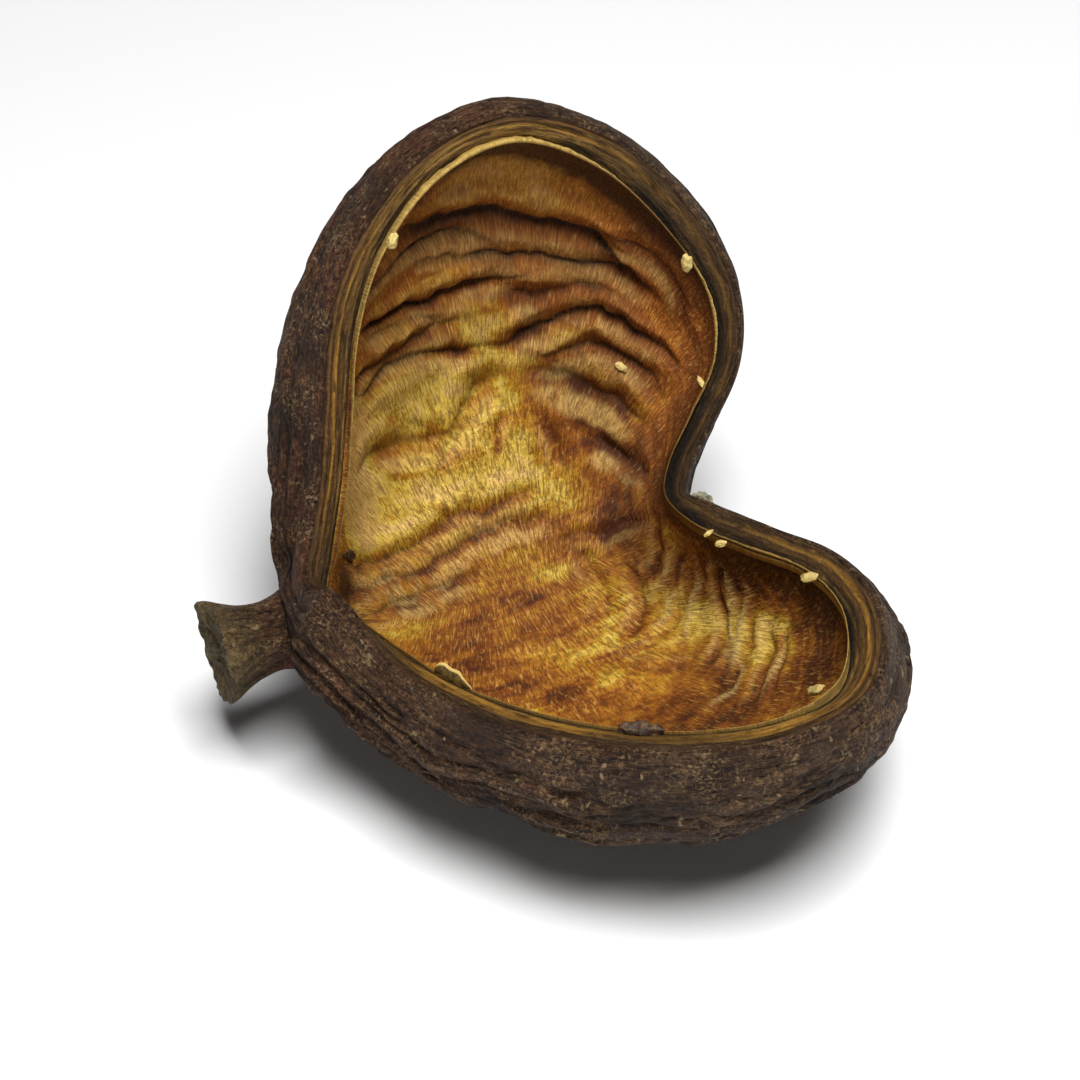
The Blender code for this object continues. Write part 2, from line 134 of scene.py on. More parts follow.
# Folds of the lining: angle round the hollow and share of the way from its centre to the
# rim, at points along each fold, then its depth and half width. Each runs clockwise, and
# its steep side faces the rim.
FOLDS = (
    (
        ((99, 0.785), (97, 0.767), (92, 0.732), (87, 0.715), (82, 0.695), (76, 0.690),
         (69, 0.690), (64, 0.700), (60, 0.715), (55, 0.727), (51, 0.724), (45, 0.727),
         (40, 0.722)),
        2.5, 1.9,
    ),
    (
        ((114, 0.880), (109, 0.755), (107, 0.745), (101, 0.727), (96, 0.703), (91, 0.690),
         (86, 0.676), (80, 0.652), (74, 0.635)),
        1.7, 0.8,
    ),
    (
        ((87, 0.630), (82, 0.622), (78, 0.620), (73, 0.619), (68, 0.629), (62, 0.641),
         (57, 0.659), (52, 0.688), (47, 0.715), (42, 0.722), (38, 0.735)),
        1.9, 0.95,
    ),
    (
        ((117, 0.810), (112, 0.668), (110, 0.656), (104, 0.624), (98, 0.595), (93, 0.572),
         (87, 0.563), (82, 0.565), (78, 0.570), (72, 0.582), (66, 0.602)),
        1.9, 0.95,
    ),
    (
        ((76, 0.538), (70, 0.550), (65, 0.558), (60, 0.587), (55, 0.625), (50, 0.655),
         (44, 0.668)),
        1.1, 1.3,
    ),
    (
        ((123, 0.740), (119, 0.612), (117, 0.602), (112, 0.570), (106, 0.548), (100, 0.528),
         (96, 0.521), (90, 0.520), (84, 0.511)),
        1.4, 0.9,
    ),
    (
        ((125, 0.680), (118, 0.565), (112, 0.538), (106, 0.519), (98, 0.492), (93, 0.480),
         (87, 0.465), (82, 0.458), (77, 0.461)),
        1.5, 0.8,
    ),
    (
        ((80, 0.460), (73, 0.460), (69, 0.469), (66, 0.487), (62, 0.511), (58, 0.543),
         (53, 0.578), (50, 0.600), (46, 0.614), (42, 0.624), (37, 0.639), (32, 0.673),
         (27, 0.725)),
        2.2, 1.0,
    ),
    (
        ((66, 0.447), (58, 0.477), (52, 0.509), (47, 0.541), (44, 0.553), (40, 0.565),
         (37, 0.580), (31, 0.600), (26, 0.632)),
        1.4, 1.3,
    ),
    (
        ((66, 0.420), (57, 0.445), (49, 0.457), (41, 0.477), (37, 0.490), (31, 0.503),
         (25, 0.546)),
        1.3, 1.4,
    ),
    (((36, 0.400), (31, 0.413), (26, 0.447), (18, 0.548), (14, 0.640)), 1.0, 1.2),
    (((22, 0.200), (18, 0.246), (9, 0.388), (6, 0.509), (0, 0.760)), 0.6, 0.9),
    (((-2, 0.760), (-6, 0.680), (-13, 0.590), (-18, 0.479), (-24, 0.369)), 0.8, 0.9),
    (((-16, 0.740), (-18, 0.668), (-22, 0.573), (-25, 0.487), (-29, 0.413), (-34, 0.350)), 0.6, 0.8),
    (((-20, 0.700), (-24, 0.614), (-30, 0.492), (-36, 0.413), (-41, 0.361), (-48, 0.310)), 0.5, 0.7),
    (((-20, 0.800), (-22, 0.740), (-28, 0.590), (-32, 0.509), (-36, 0.460)), 0.5, 0.7),
    (
        ((-24, 0.810), (-25, 0.764), (-29, 0.636), (-36, 0.541), (-42, 0.501), (-47, 0.474),
         (-53, 0.450)),
        0.8, 0.7,
    ),
    (((-28, 0.760), (-31, 0.678), (-37, 0.565), (-44, 0.521), (-48, 0.509), (-54, 0.500)), 0.5, 0.6),
    (((-30, 0.780), (-32, 0.718), (-36, 0.614), (-43, 0.560), (-49, 0.531), (-55, 0.520)), 0.6, 0.6),
    (((-36, 0.700), (-39, 0.634), (-44, 0.612), (-50, 0.587), (-55, 0.578), (-60, 0.570)), 0.6, 0.7),
    (((-38, 0.740), (-41, 0.673), (-46, 0.644), (-50, 0.629), (-56, 0.620)), 0.45, 0.6),
    (((-49, 0.450), (-53, 0.396), (-57, 0.332), (-62, 0.271)), 0.5, 1.0),
    (((113, 0.644), (107, 0.609), (99, 0.570), (93, 0.546), (88, 0.530)), 0.9, 0.6),
    (((95, 0.665), (93, 0.659), (88, 0.644), (83, 0.627)), 0.8, 0.6),
    (((57, 0.775), (55, 0.762), (47, 0.813), (40, 0.826), (35, 0.808), (30, 0.760)), 0.8, 1.4),
    (
        ((136, 0.520), (133, 0.501), (123, 0.457), (115, 0.406), (101, 0.354), (90, 0.342),
         (85, 0.366), (81, 0.386), (76, 0.403), (69, 0.418)),
        0.9, 1.1,
    ),
    (((74, 0.270), (74, 0.290), (73, 0.320), (70, 0.349)), 0.6, 0.6),
    (((56, 0.370), (52, 0.348), (47, 0.330), (43, 0.305)), 0.6, 0.9),
    (
        ((170, 0.640), (167, 0.555), (160, 0.400), (156, 0.354), (134, 0.244), (107, 0.199),
         (85, 0.182), (60, 0.212), (45, 0.250)),
        1.2, 1.0,
    ),
    (
        ((176, 0.600), (174, 0.533), (165, 0.347), (143, 0.194), (108, 0.148), (74, 0.148),
         (49, 0.177), (35, 0.220)),
        1.2, 1.0,
    ),
    (((179, 0.520), (178, 0.435), (170, 0.271), (151, 0.143), (118, 0.076)), 0.9, 0.9),
    (((106, 0.300), (97, 0.312), (89, 0.330)), 0.4, 0.8),
    (((115, 0.485), (110, 0.428), (102, 0.379)), 0.5, 0.9),
    (((19, 0.194), (0, 0.280), (-21, 0.288), (-40, 0.229)), 0.5, 1.0),
    (((-8, 0.420), (-22, 0.408), (-33, 0.339), (-48, 0.285)), 0.7, 0.9),
    (((-47, 0.440), (-49, 0.342), (-63, 0.258)), 0.5, 0.9),
)

# Painted highlights as pale lines along the lower lobe's pleat ridges: points as for the folds, then
# the half width
PALE_LINES = (
    (((-14, 0.660), (-16, 0.607), (-22, 0.492), (-25, 0.411), (-29, 0.360)), 0.45),
    (((-24, 0.790), (-26, 0.754), (-31, 0.641), (-36, 0.543), (-43, 0.524), (-47, 0.496)), 0.50),
    (((-31, 0.681), (-37, 0.570), (-44, 0.531), (-48, 0.520)), 0.45),
    (((-47, 0.530), (-50, 0.541), (-55, 0.528), (-59, 0.504), (-63, 0.480)), 0.40),
    (((-26, 0.520), (-28, 0.469), (-33, 0.411), (-40, 0.344)), 0.45),
    (((-24, 0.660), (-28, 0.560), (-33, 0.465), (-43, 0.413)), 0.45),
    (((-40, 0.690), (-45, 0.640), (-50, 0.610), (-56, 0.590)), 0.40),
)

# How the rim looks at angles round it: the lip's height, its thickness, how pale it is, and
# how golden the seam outside it is
RIM_LOOK = (
    (-180, 0.30, 0.22, 0.05, 0.10),
    (-152, 0.18, 0.20, 0.10, 0.25),
    (-140, 0.15, 0.22, 0.20, 0.85),
    (-120, 0.14, 0.22, 0.30, 1.00),
    (-108, 0.14, 0.22, 0.30, 0.90),
    (-99, 0.12, 0.20, 0.15, 0.25),
    (-86, 0.16, 0.20, 0.25, 0.40),
    (-76, 0.25, 0.22, 0.40, 0.90),
    (-60, 0.40, 0.24, 0.60, 1.00),
    (-42, 0.40, 0.22, 0.60, 0.80),
    (-30, 0.38, 0.22, 0.45, 0.42),
    (-20, 0.30, 0.20, 0.25, 0.20),
    (-8, 0.20, 0.20, 0.10, 0.15),
    (12, 0.20, 0.20, 0.10, 0.15),
    (22, 0.35, 0.24, 0.30, 0.30),
    (29, 0.65, 0.40, 0.85, 0.30),
    (37, 0.60, 0.36, 0.75, 0.25),
    (42, 0.25, 0.22, 0.10, 0.25),
    (54, 0.30, 0.28, 0.20, 0.45),
    (62, 0.60, 0.52, 0.65, 0.80),
    (74, 0.80, 0.85, 0.90, 1.00),
    (98, 0.80, 0.80, 0.85, 1.00),
    (112, 0.45, 0.34, 0.50, 1.00),
    (130, 0.32, 0.20, 0.60, 1.00),
    (155, 0.28, 0.20, 0.50, 1.00),
    (168, 0.30, 0.18, 0.15, 0.45),
    (180, 0.30, 0.22, 0.05, 0.10),
)

# The lip's section from the hollow outwards: share of its thickness, then share of its
# height, or millimetres where it is below the edge
LIP_SECTION = (
    (0.05, 0.45),
    (0.25, 0.85),
    (0.55, 1.0),
    (0.85, 0.8),
    (1.0, 0.2),
    (1.1, -0.8),
    (0.9, -1.8),
)

# Dark patches in the groove outside the lip: angle, half length, share of the
# rim's width, and half width as a share
GROOVE_PATCHES = (
    (101.0, 6.0, 0.20, 0.10),
    (90.0, 3.0, 0.14, 0.10),
    (66.0, 4.5, 0.19, 0.10),
    (50.0, 7.0, 0.16, 0.10),
    (30.0, 9.0, 0.18, 0.13),
    (8.0, 15.0, 0.25, 0.24),
    (-14.0, 9.0, 0.20, 0.18),
    (-30.0, 9.0, 0.14, 0.14),
    (-45.0, 10.0, 0.12, 0.12),
    (-66.0, 4.0, 0.10, 0.09),
)

# A flake that stands on the front of the lip: angle, half its length, height and lean
FLAKE = (-136.0, 5.2, 1.9, 1.3)

# Crusts on the rim and the lining: angle, share of the way to the rim, length, width, height
CRUSTS = (
    (-97.5, 1.00, 6.6, 2.0, 2.4),
    (163.0, 0.54, 4.6, 2.2, 1.7),
)

# Stained patches of the lining (above 0), with a few that are painted shade under the top lip
# and below the notch, and bleached ones (below 0): angle, share of the way from the hollow's
# centre to the rim, size as a share, and amount
PATCHES = (
    (41, 0.97, 0.13, 0.55),
    (30, 0.93, 0.13, 0.65),
    (22, 0.78, 0.13, 0.60),
    (6, 0.86, 0.12, 0.60),
    (18, 0.55, 0.09, 0.45),
    (49, 0.36, 0.06, 0.38),
    (36, 0.41, 0.06, 0.32),
    (11, 0.41, 0.09, 0.50),
    (-13, 0.52, 0.09, 0.50),
    (-43, 0.90, 0.15, 0.62),
    (-33, 0.86, 0.12, 0.62),
    (-25, 0.92, 0.10, 0.55),
    (-22, 0.73, 0.08, 0.40),
    (-50, 0.74, 0.08, 0.35),
    (-118, 0.10, 0.10, 0.45),
    (-132, 0.23, 0.10, 0.50),
    (-89, 0.28, 0.05, 0.30),
    (155, 0.20, 0.05, 0.30),
    (174, 0.31, 0.06, 0.35),
    (120, 0.39, 0.045, 0.40),
    (101, 0.35, 0.035, 0.35),
    (133, 0.46, 0.05, 0.35),
    (64, 0.55, 0.05, 0.45),
    (44, 0.62, 0.07, 0.50),
    (100, 0.68, 0.05, 0.25),
    # Painted shade under the top lip
    (99, 0.90, 0.09, 0.45),
    (110, 0.86, 0.07, 0.45),
    (62, 0.92, 0.09, 0.40),
    (80, 0.69, 0.09, 0.30),
    (52, 0.80, 0.10, 0.38),
    (68, 0.78, 0.06, -0.75),
    (84, 0.78, 0.06, -0.65),
    (108, 0.425, 0.08, -0.60),
    (90, 0.40, 0.06, -0.50),
    (70, 0.36, 0.06, -0.50),
    (117, 0.28, 0.08, -0.50),
    (142, 0.39, 0.07, -0.40),
    (52, 0.27, 0.06, -0.50),
    (62, 0.20, 0.06, -0.40),
    (-81, 0.18, 0.05, -0.30),
    (-60, 0.31, 0.07, -0.15),
    (-62, 0.43, 0.06, 0.10),
    (100, 0.60, 0.04, -0.35),
    (87, 0.59, 0.04, -0.35),
    (56, 0.50, 0.04, -0.40),
    (79, 0.475, 0.03, -0.35),
    (-34, 0.465, 0.05, -0.35),
    (-46, 0.575, 0.035, -0.35),
    (143, 0.30, 0.04, -0.30),
    (128, 0.57, 0.07, -0.80),
    (141, 0.56, 0.08, -0.70),
    (154, 0.46, 0.07, -0.50),
    (-38, 0.58, 0.08, -0.90),
    (-72, 0.50, 0.12, 0.52),
    (-55, 0.62, 0.10, 0.42),
    (-85, 0.30, 0.09, 0.20),
    (-70, 0.80, 0.14, -0.45),
    (-98, 0.62, 0.12, 0.26),
    (136, 0.50, 0.08, -0.70),
    # Painted shade below the notch's rim
    (3, 0.94, 0.08, 0.60),
    (-9, 0.90, 0.08, 0.70),
)

# Stubs that the seeds hung from: angle round the rim, how far down the wall, how far in
# from it, length, width and turn
STUBS = (
    (105.5, -0.5, 0.1, 2.8, 2.0, 20),
    (39.5, -0.2, 0.8, 3.4, 2.0, -35),
    (21.0, 1.2, 0.3, 2.2, 1.0, 60),
    (-21.5, 0.1, 0.2, 1.9, 0.9, 60),
    (-24.0, 0.9, 0.6, 2.2, 1.2, 25),
    (-36.5, -0.2, 0.9, 3.5, 1.8, 35),
    (-65.5, 0.5, 2.1, 4.4, 2.0, 78),
)
LOOSE_STUB = (39.0, 0.548, 2.4, 1.4)

# The beak: its half sizes, the directions of its length and its height, and its place
BEAK_SIZE = (1.9, 1.3, 1.3)
BEAK_ALONG = (0.7, -0.7, 0.1)
BEAK_UP = (0.2, 0.0, 1.0)
BEAK_PLACE = (HINGE_LENGTH + RIM_WIDTH + 1.4, -3.0, -0.3)

# The stalk, from its root in the wall to its torn end: distance along, height, radius, ridges
STALK_SECTIONS = (
    (2.5, -11.5, 3.0, 0.00),
    (-1.5, -9.6, 7.2, 0.02),
    (-3.6, -9.2, 8.3, 0.04),
    (-5.2, -9.0, 7.6, 0.07),
    (-7.5, -8.9, 6.6, 0.11),
    (-10.0, -8.8, 6.2, 0.14),
    (-13.0, -9.0, 6.6, 0.16),
    (-16.0, -9.3, 7.7, 0.18),
    (-18.3, -10.2, 9.0, 0.19),
    (-19.4, -10.8, 9.5, 0.19),
)
STALK_SIDE = -1.0

# Ridges round the stalk: how many, height as a share, and turn in radians
STALK_RIBS = (
    (3, 0.55, 0.4),
    (5, 0.28, 2.3),
    (2, 0.55, 1.9),
    (8, 0.10, 0.4),
)

# The rind's length from the rim to its middle, on the outside
RIND_LENGTH = 88.0

# How finely the pieces are made. The lining's rings lie closest at its edge, and more widely
# in the middle of the hollow.
SEGMENTS = 420
STALK_SEGMENTS = 150
MIDDLE_RINGS = 30
FOLD_RINGS = 135
EDGE_RINGS = 20
BACK_RINGS = 24
OUTER_RINGS = 130
RIM_RINGS = 40

# How many slopes the smooth noise picks from, and what brings it to between -1 and 1
NOISE_SLOPES = 512
NOISE_GAIN = 1.7

# The camera: degrees above the level, distance and target in millimetres, and lens
EYE_LEVEL = 42.8
EYE_DISTANCE = 445.0
AIM = (-0.865, -10.04, 44.13)
LENS = 90.9
SENSOR_WIDTH = 36.0

# The lights: side and place in metres, the front one's share of the power, the white room's
# strength
OVERHEAD_SIDE = 0.46
OVERHEAD_PLACE = (0.10, -0.20, 0.89)
FRONT_SIDE = 0.4
FRONT_PLACE = (-0.40, -0.88, 0.12)
FRONT_SHARE = 0.16
ROOM_STRENGTH = 0.015


def paint(red, green, blue):
    """A colour as it looks on a screen, from 0 to 255, as the shader's own numbers."""
    found = []
    for share in (red / 255, green / 255, blue / 255):
        found.append(share / 12.92 if share <= 0.04045 else ((share + 0.055) / 1.055) ** 2.4)
    return tuple(found)


class PodSizes(bpy.types.PropertyGroup):
    """Sizes that change how the pod is dressed."""

    wrinkle: bpy.props.FloatProperty(
        name="Rind wrinkles",
        description="Height of the rind's wrinkles, in millimetres",
        default=0.75,
        min=0.0,
    )
    fold: bpy.props.FloatProperty(
        name="Fold depth",
        description="How deep the lining's folds are, against their usual depth",
        default=1.0,
        min=0.0,
    )
    lip: bpy.props.FloatProperty(
        name="Lip height",
        description="How far the lining's edge stands out, in millimetres",
        default=0.8,
        min=0.0,
    )
    fibre: bpy.props.FloatProperty(
        name="Fibre relief",
        description="Height of the lining's fibres, in millimetres",
        default=0.12,
        min=0.0,
    )


class PodColours(bpy.types.PropertyGroup):
    """Colours of the pod."""

    rind: bpy.props.FloatVectorProperty(
        name="Rind",
        description="Main colour of the rind",
        subtype="COLOR",
        default=paint(54, 33, 21),
    )
    rind_red: bpy.props.FloatVectorProperty(
        name="Red rind",
        description="Rind that dried redder",
        subtype="COLOR",
        default=paint(78, 42, 27),
    )
    rind_grey: bpy.props.FloatVectorProperty(
        name="Grey rind",
        description="Weathered rind",
        subtype="COLOR",
        default=paint(74, 55, 39),
    )
    seam: bpy.props.FloatVectorProperty(
        name="Seam",
        description="Golden lines of the rim",
        subtype="COLOR",
        default=paint(176, 128, 50),
    )
    lip: bpy.props.FloatVectorProperty(
        name="Lip",
        description="Thin edge of the lining",
        subtype="COLOR",
        default=paint(206, 172, 92),
    )
    ochre: bpy.props.FloatVectorProperty(
        name="Lining",
        description="Main colour of the lining",
        subtype="COLOR",
        default=paint(184, 138, 38),
    )
    yellow: bpy.props.FloatVectorProperty(
        name="Yellow lining",
        description="Palest yellow of the lining",
        subtype="COLOR",
        default=paint(222, 188, 80),
    )
    brown: bpy.props.FloatVectorProperty(
        name="Brown lining",
        description="Stained lining",
        subtype="COLOR",
        default=paint(136, 76, 22),
    )
    # Also the colour of the painted highlights on the lining's fold slopes
    tan: bpy.props.FloatVectorProperty(
        name="Tan lining",
        description="Worn crests of the lining",
        subtype="COLOR",
        default=paint(224, 183, 104),
    )
    stub: bpy.props.FloatVectorProperty(
        name="Stubs",
        description="Pale stubs of the seeds",
        subtype="COLOR",
        default=paint(208, 184, 112),
    )


class PodStage(bpy.types.PropertyGroup):
    """The plain floor and the soft light."""

    floor_size: bpy.props.FloatProperty(
        name="Floor size",
        description="Side of the floor",
        default=4.0,
        min=0.5,
        unit="LENGTH",
    )
    floor: bpy.props.FloatVectorProperty(
        name="Floor",
        description="Colour of the floor",
        subtype="COLOR",
        default=(0.85, 0.85, 0.85),
    )
    power: bpy.props.FloatProperty(
        name="Soft light",
        description="Power of the large light overhead, in watts",
        default=13.0,
        min=0.0,
    )


def smooth_curve(points, closed, steps):
    """Points on a smooth curve through the given ones."""
    count = len(points)
    spans = count if closed else count - 1
    found = []
    for i in range(spans):
        if closed:
            before, start, end, after = (points[(i + k) % count] for k in (-1, 0, 1, 2))
        else:
            before, start, end, after = (
                points[min(max(i + k, 0), count - 1)] for k in (-1, 0, 1, 2)
            )
        gaps = [
            max(np.linalg.norm(b - a), 1e-6) ** 0.5
            for a, b in ((before, start), (start, end), (end, after))
        ]
        back = (start - before) / gaps[0] - (end - before) / (gaps[0] + gaps[1])
        ahead = (after - end) / gaps[2] - (after - start) / (gaps[1] + gaps[2])
        leave = end - start + gaps[1] * back
        arrive = end - start + gaps[1] * ahead
        t = np.linspace(0.0, 1.0, steps, endpoint=False)[:, None]
        found.append(
            (2 * t**3 - 3 * t**2 + 1) * start
            + (t**3 - 2 * t**2 + t) * leave
            + (3 * t**2 - 2 * t**3) * end
            + (t**3 - t**2) * arrive
        )
    found.append(points[:1] if closed else points[-1:])
    return np.vstack(found)


def evenly(curve, count):
    """The closed curve's points, spaced half by length and half by angle round the hollow."""
    turn = np.unwrap(np.arctan2(curve[:, 1], curve[:, 0] - HOLLOW_CENTRE[0]))
    steps = np.linalg.norm(np.diff(curve, axis=0), axis=1)
    turns = np.abs(np.diff(turn))
    along = np.concatenate(([0.0], np.cumsum(steps / steps.sum() + turns / turns.sum())))
    wanted = np.linspace(0.0, along[-1], count, endpoint=False)
    return np.stack([np.interp(wanted, along, curve[:, k]) for k in range(3)], axis=1)


def on_half(along, out, side):
    """A point of one half's rim, with the half raised about the rounded hinge line."""
    rise = math.radians(HALF_RISE)
    raised = math.hypot(out, HINGE_ROUND) - HINGE_ROUND
    return (along, side * out * math.cos(rise), raised * math.sin(rise))


def bump(value, middle, width):
    """A smooth bump of height 1."""
    return np.exp(-(((value - middle) / width) ** 2))


def step(value, low, high):
    """0 below low, 1 above high, and smooth between them."""
    share = np.clip((value - low) / (high - low), 0, 1)
    return share * share * (3 - 2 * share)


def lumps(points, size, seed):
    """Smooth noise from about -1 to 1 at the given points, with lumps of the given size."""
    rng = np.random.default_rng(seed)
    slopes = rng.normal(size=(NOISE_SLOPES, 3))
    slopes /= np.linalg.norm(slopes, axis=1)[:, None]
    order = np.tile(rng.permutation(NOISE_SLOPES), 2)
    place = np.asarray(points, dtype=float) / size
    cell = np.floor(place).astype(int)
    inside = place - cell
    ease = inside**3 * (inside * (inside * 6 - 15) + 10)
    total = np.zeros(place.shape[:-1])
    for corner in np.ndindex(2, 2, 2):
        at = (cell + corner) % NOISE_SLOPES
        pick = order[at[..., 0]] + at[..., 1]
        pick = order[pick % NOISE_SLOPES] + at[..., 2]
        pick = order[pick % NOISE_SLOPES]
        toward = inside - corner
        share = np.prod(np.where(np.array(corner) == 1, ease, 1 - ease), axis=-1)
        total += share * (slopes[pick] * toward).sum(axis=-1)
    return total * NOISE_GAIN


class Rim:
    """The rim's inner edge and, at each of its points, the directions and the widths."""

    def __init__(self, count):
        corners = [(0.0, 0.0, 0.0)]
        corners += [on_half(along, out, 1) for along, out in UPPER_EDGE]
        corners += [(HINGE_LENGTH, 0.0, 0.0)]
        corners += [on_half(along, out, -1) for along, out in reversed(LOWER_EDGE)]
        self.edge = evenly(smooth_curve(np.array(corners), True, 60), count)
        run = np.roll(self.edge, -2, axis=0) - np.roll(self.edge, 2, axis=0)
        run /= np.linalg.norm(run, axis=1)[:, None]
        lean = np.tanh(self.edge[:, 1] / 9.0) * math.sin(math.radians(HALF_RISE))
        self.up = np.stack([0 * lean, -lean, np.sqrt(1 - lean**2)], axis=1)
        out = np.cross(self.up, run)
        for _ in range(count // 90):
            out = (np.roll(out, 1, axis=0) + 2 * out + np.roll(out, -1, axis=0)) / 4
        self.out = out / np.linalg.norm(out, axis=1)[:, None]
        flat = self.edge[:, :2] - HOLLOW_CENTRE[:2]
        self.angle = np.degrees(np.arctan2(flat[:, 1], flat[:, 0]))
        self.reach = np.hypot(flat[:, 0], flat[:, 1]) + HOLLOW_SIDE
        steps = np.linalg.norm(np.roll(self.edge, -1, axis=0) - self.edge, axis=1)
        self.run = np.concatenate(([0.0], np.cumsum(steps)[:-1]))
        # From 0 to 1: how far a point is out in its lobe, and how near the stalk and beak
        turn = np.abs(self.angle)
        self.lobe = np.sin(np.radians(turn)) ** 2
        self.stalk_side = bump(turn, 150, 28)
        self.beak_side = bump(turn, 36, 28)
        # From 0 to 1: how much it is on the pod's front, on the lower half and on the upper
        self.front = step(-self.angle, 60, 78) * (1 - step(-self.angle, 166, 178))
        below = np.where(self.angle < 0, 1.0, 0.0)
        self.lower = below * np.clip(turn / 12, 0, 1) * np.clip((180 - turn) / 6, 0, 1)
        self.upper = 1 - self.lower
        # Degrees past the stalk's corner, into the lower half
        self.past = np.where(self.angle < 0, 180 + self.angle, self.angle - 180)
        self.raised = SHOULDER_RISE * bump(self.past, 7, 16) * step(self.past, -9, 8)
        shoulder = bump(turn, 172, 18)
        self.width = (
            RIM_WIDTH
            + (RIM_EXTRA_AT_LOBES - RIM_LESS_AT_TOP * self.upper) * self.lobe
            + RIM_EXTRA_AT_LEFT * bump(turn, 132, 34) * self.upper
            + RIM_EXTRA_LOWER_END * self.beak_side * self.lower
            + RIM_EXTRA_UPPER_END * bump(turn, 45, 26) * self.upper
            + RIM_EXTRA_AT_STALK * shoulder * (1 + 1.5 * self.lower)
            + RIM_EXTRA_AT_NOTCH * bump(turn, 22, 18) * self.lower
        )

    def nearest(self, angle):
        """The number of the point nearest to an angle."""
        return int(np.argmin(np.abs(self.angle - angle)))

    def ahead(self, i):
        """The way that the rim runs at one of its points."""
        return self.edge[(i + 1) % len(self.edge)] - self.edge[i - 1]

    def section(self, share, height):
        """The ring at that share of the rim's width, at that height."""
        near = min(share / 0.6, 1.0)
        rise = height + self.raised * near * near * (3 - 2 * near)
        rise = np.broadcast_to(rise, self.width.shape)
        return self.edge + self.out * (self.width * share)[:, None] + self.up * rise[:, None]

    def on_disc(self, angle, share):
        """A place in the hollow as a point of a flat disc with much the same distances."""
        turn = np.radians(angle)
        length = share * np.interp(angle, self.angle, self.reach, period=360)
        return np.stack([length * np.cos(turn), length * np.sin(turn)], axis=-1)


def spokes(rim, end, start, reach, depth, bulge, shares):
    """Rings of points on curved spokes that leave the centre level and meet the rim square."""
    level = end - start
    level[:, 2] = 0.0
    length = np.linalg.norm(level, axis=1)[:, None]
    leave = start + level / length * np.minimum(reach, 0.95 * length)
    arrive = end - rim.up * depth[:, None] + rim.out * bulge[:, None]
    t = np.asarray(shares)[:, None, None]
    return (
        (1 - t) ** 3 * start
        + 3 * (1 - t) ** 2 * t * leave
        + 3 * (1 - t) * t**2 * arrive
        + t**3 * end
    )


def inner_rings(rim, shares):
    """The hollow's wall, before its folds."""
    depth = 9 + 14 * rim.lobe
    side = 2 + 5 * rim.stalk_side + 3 * rim.beak_side * rim.lower
    return spokes(rim, rim.edge, HOLLOW_CENTRE, FLOOR_REACH, depth, side, shares)


def outer_rings(rim, shares):
    """The rind's outside, before its wrinkles."""
    depth = 9 + 20 * rim.lobe + 2 * rim.lobe * rim.lower
    side = (
        4
        + (8.5 + rim.upper) * rim.stalk_side
        + (3.8 * rim.upper + 2.4 * rim.lower) * rim.lobe
        + (3.2 + 10 * rim.lower) * rim.beak_side
        + 8 * bump(rim.past, 12, 14) * rim.lower
    )
    start = HOLLOW_CENTRE - np.array((0, 0, BACK_THICKNESS))
    end = rim.section(*RIM_SECTION[-1])
    return spokes(rim, end, start, OUTER_REACH, depth, side, shares)


def normals(rings):
    """Directions square to a surface given as rings, away from the hollow."""
    across = np.gradient(rings, axis=0)
    around = np.roll(rings, -1, axis=1) - np.roll(rings, 1, axis=1)
    found = np.cross(across, around)
    return found / np.maximum(np.linalg.norm(found, axis=2), 1e-9)[..., None]


def behind(rim, last_share, least_gap, taper):
    """Rings behind the hollow's wall, closer to it near the rim."""
    shares = np.linspace(0.03, last_share, BACK_RINGS)
    rings = inner_rings(rim, shares)
    gap = least_gap + 2.9 * step(1 - shares, 0.0, taper)
    return rings + normals(rings) * gap[:, None, None]


def lying(points):
    """Points of the pod's own frame, in millimetres, as it lies, in metres."""
    turn = np.array(Euler((math.radians(ROLL), 0.0, math.radians(YAW))).to_matrix())
    placed = (points @ turn.T + np.array(SHIFT)) * MM
    placed[..., 2] = np.maximum(placed[..., 2], 0.0)
    return placed


def tube(rings):
    """Faces of a closed tube through rings of points, which are numbered ring by ring."""
    levels, around = rings.shape[:2]
    level, spoke = np.meshgrid(np.arange(levels - 1), np.arange(around), indexing="ij")
    following = (spoke + 1) % around
    faces = np.stack(
        [
            level * around + spoke,
            level * around + following,
            (level + 1) * around + following,
            (level + 1) * around + spoke,
        ],
        axis=-1,
    ).reshape(-1, 4)
    faces = [tuple(face) for face in faces.tolist()]
    faces.append(tuple(range(around))[::-1])
    faces.append(tuple(range((levels - 1) * around, levels * around)))
    return faces


def piece(name, points, faces, marks, finish):
    """An object of the pod that rides on it, with marks on its points for its finish."""
    data = bpy.data.meshes.new(name)
    data.from_pydata(lying(points.reshape(-1, 3)).tolist(), [], faces)
    for mark, values in marks.items():
        values = np.asarray(values, dtype=np.float32)
        if values.ndim > points.ndim - 1:
            layer = data.attributes.new(mark, "FLOAT_VECTOR", "POINT")
            layer.data.foreach_set("vector", values.reshape(-1))
        else:
            layer = data.attributes.new(mark, "FLOAT", "POINT")
            layer.data.foreach_set("value", values.reshape(-1))
    data.materials.append(finish)
    data.shade_smooth()
    made = bpy.data.objects.new(name, data)
    bpy.context.scene.collection.objects.link(made)
    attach(made, BODY)
    return made


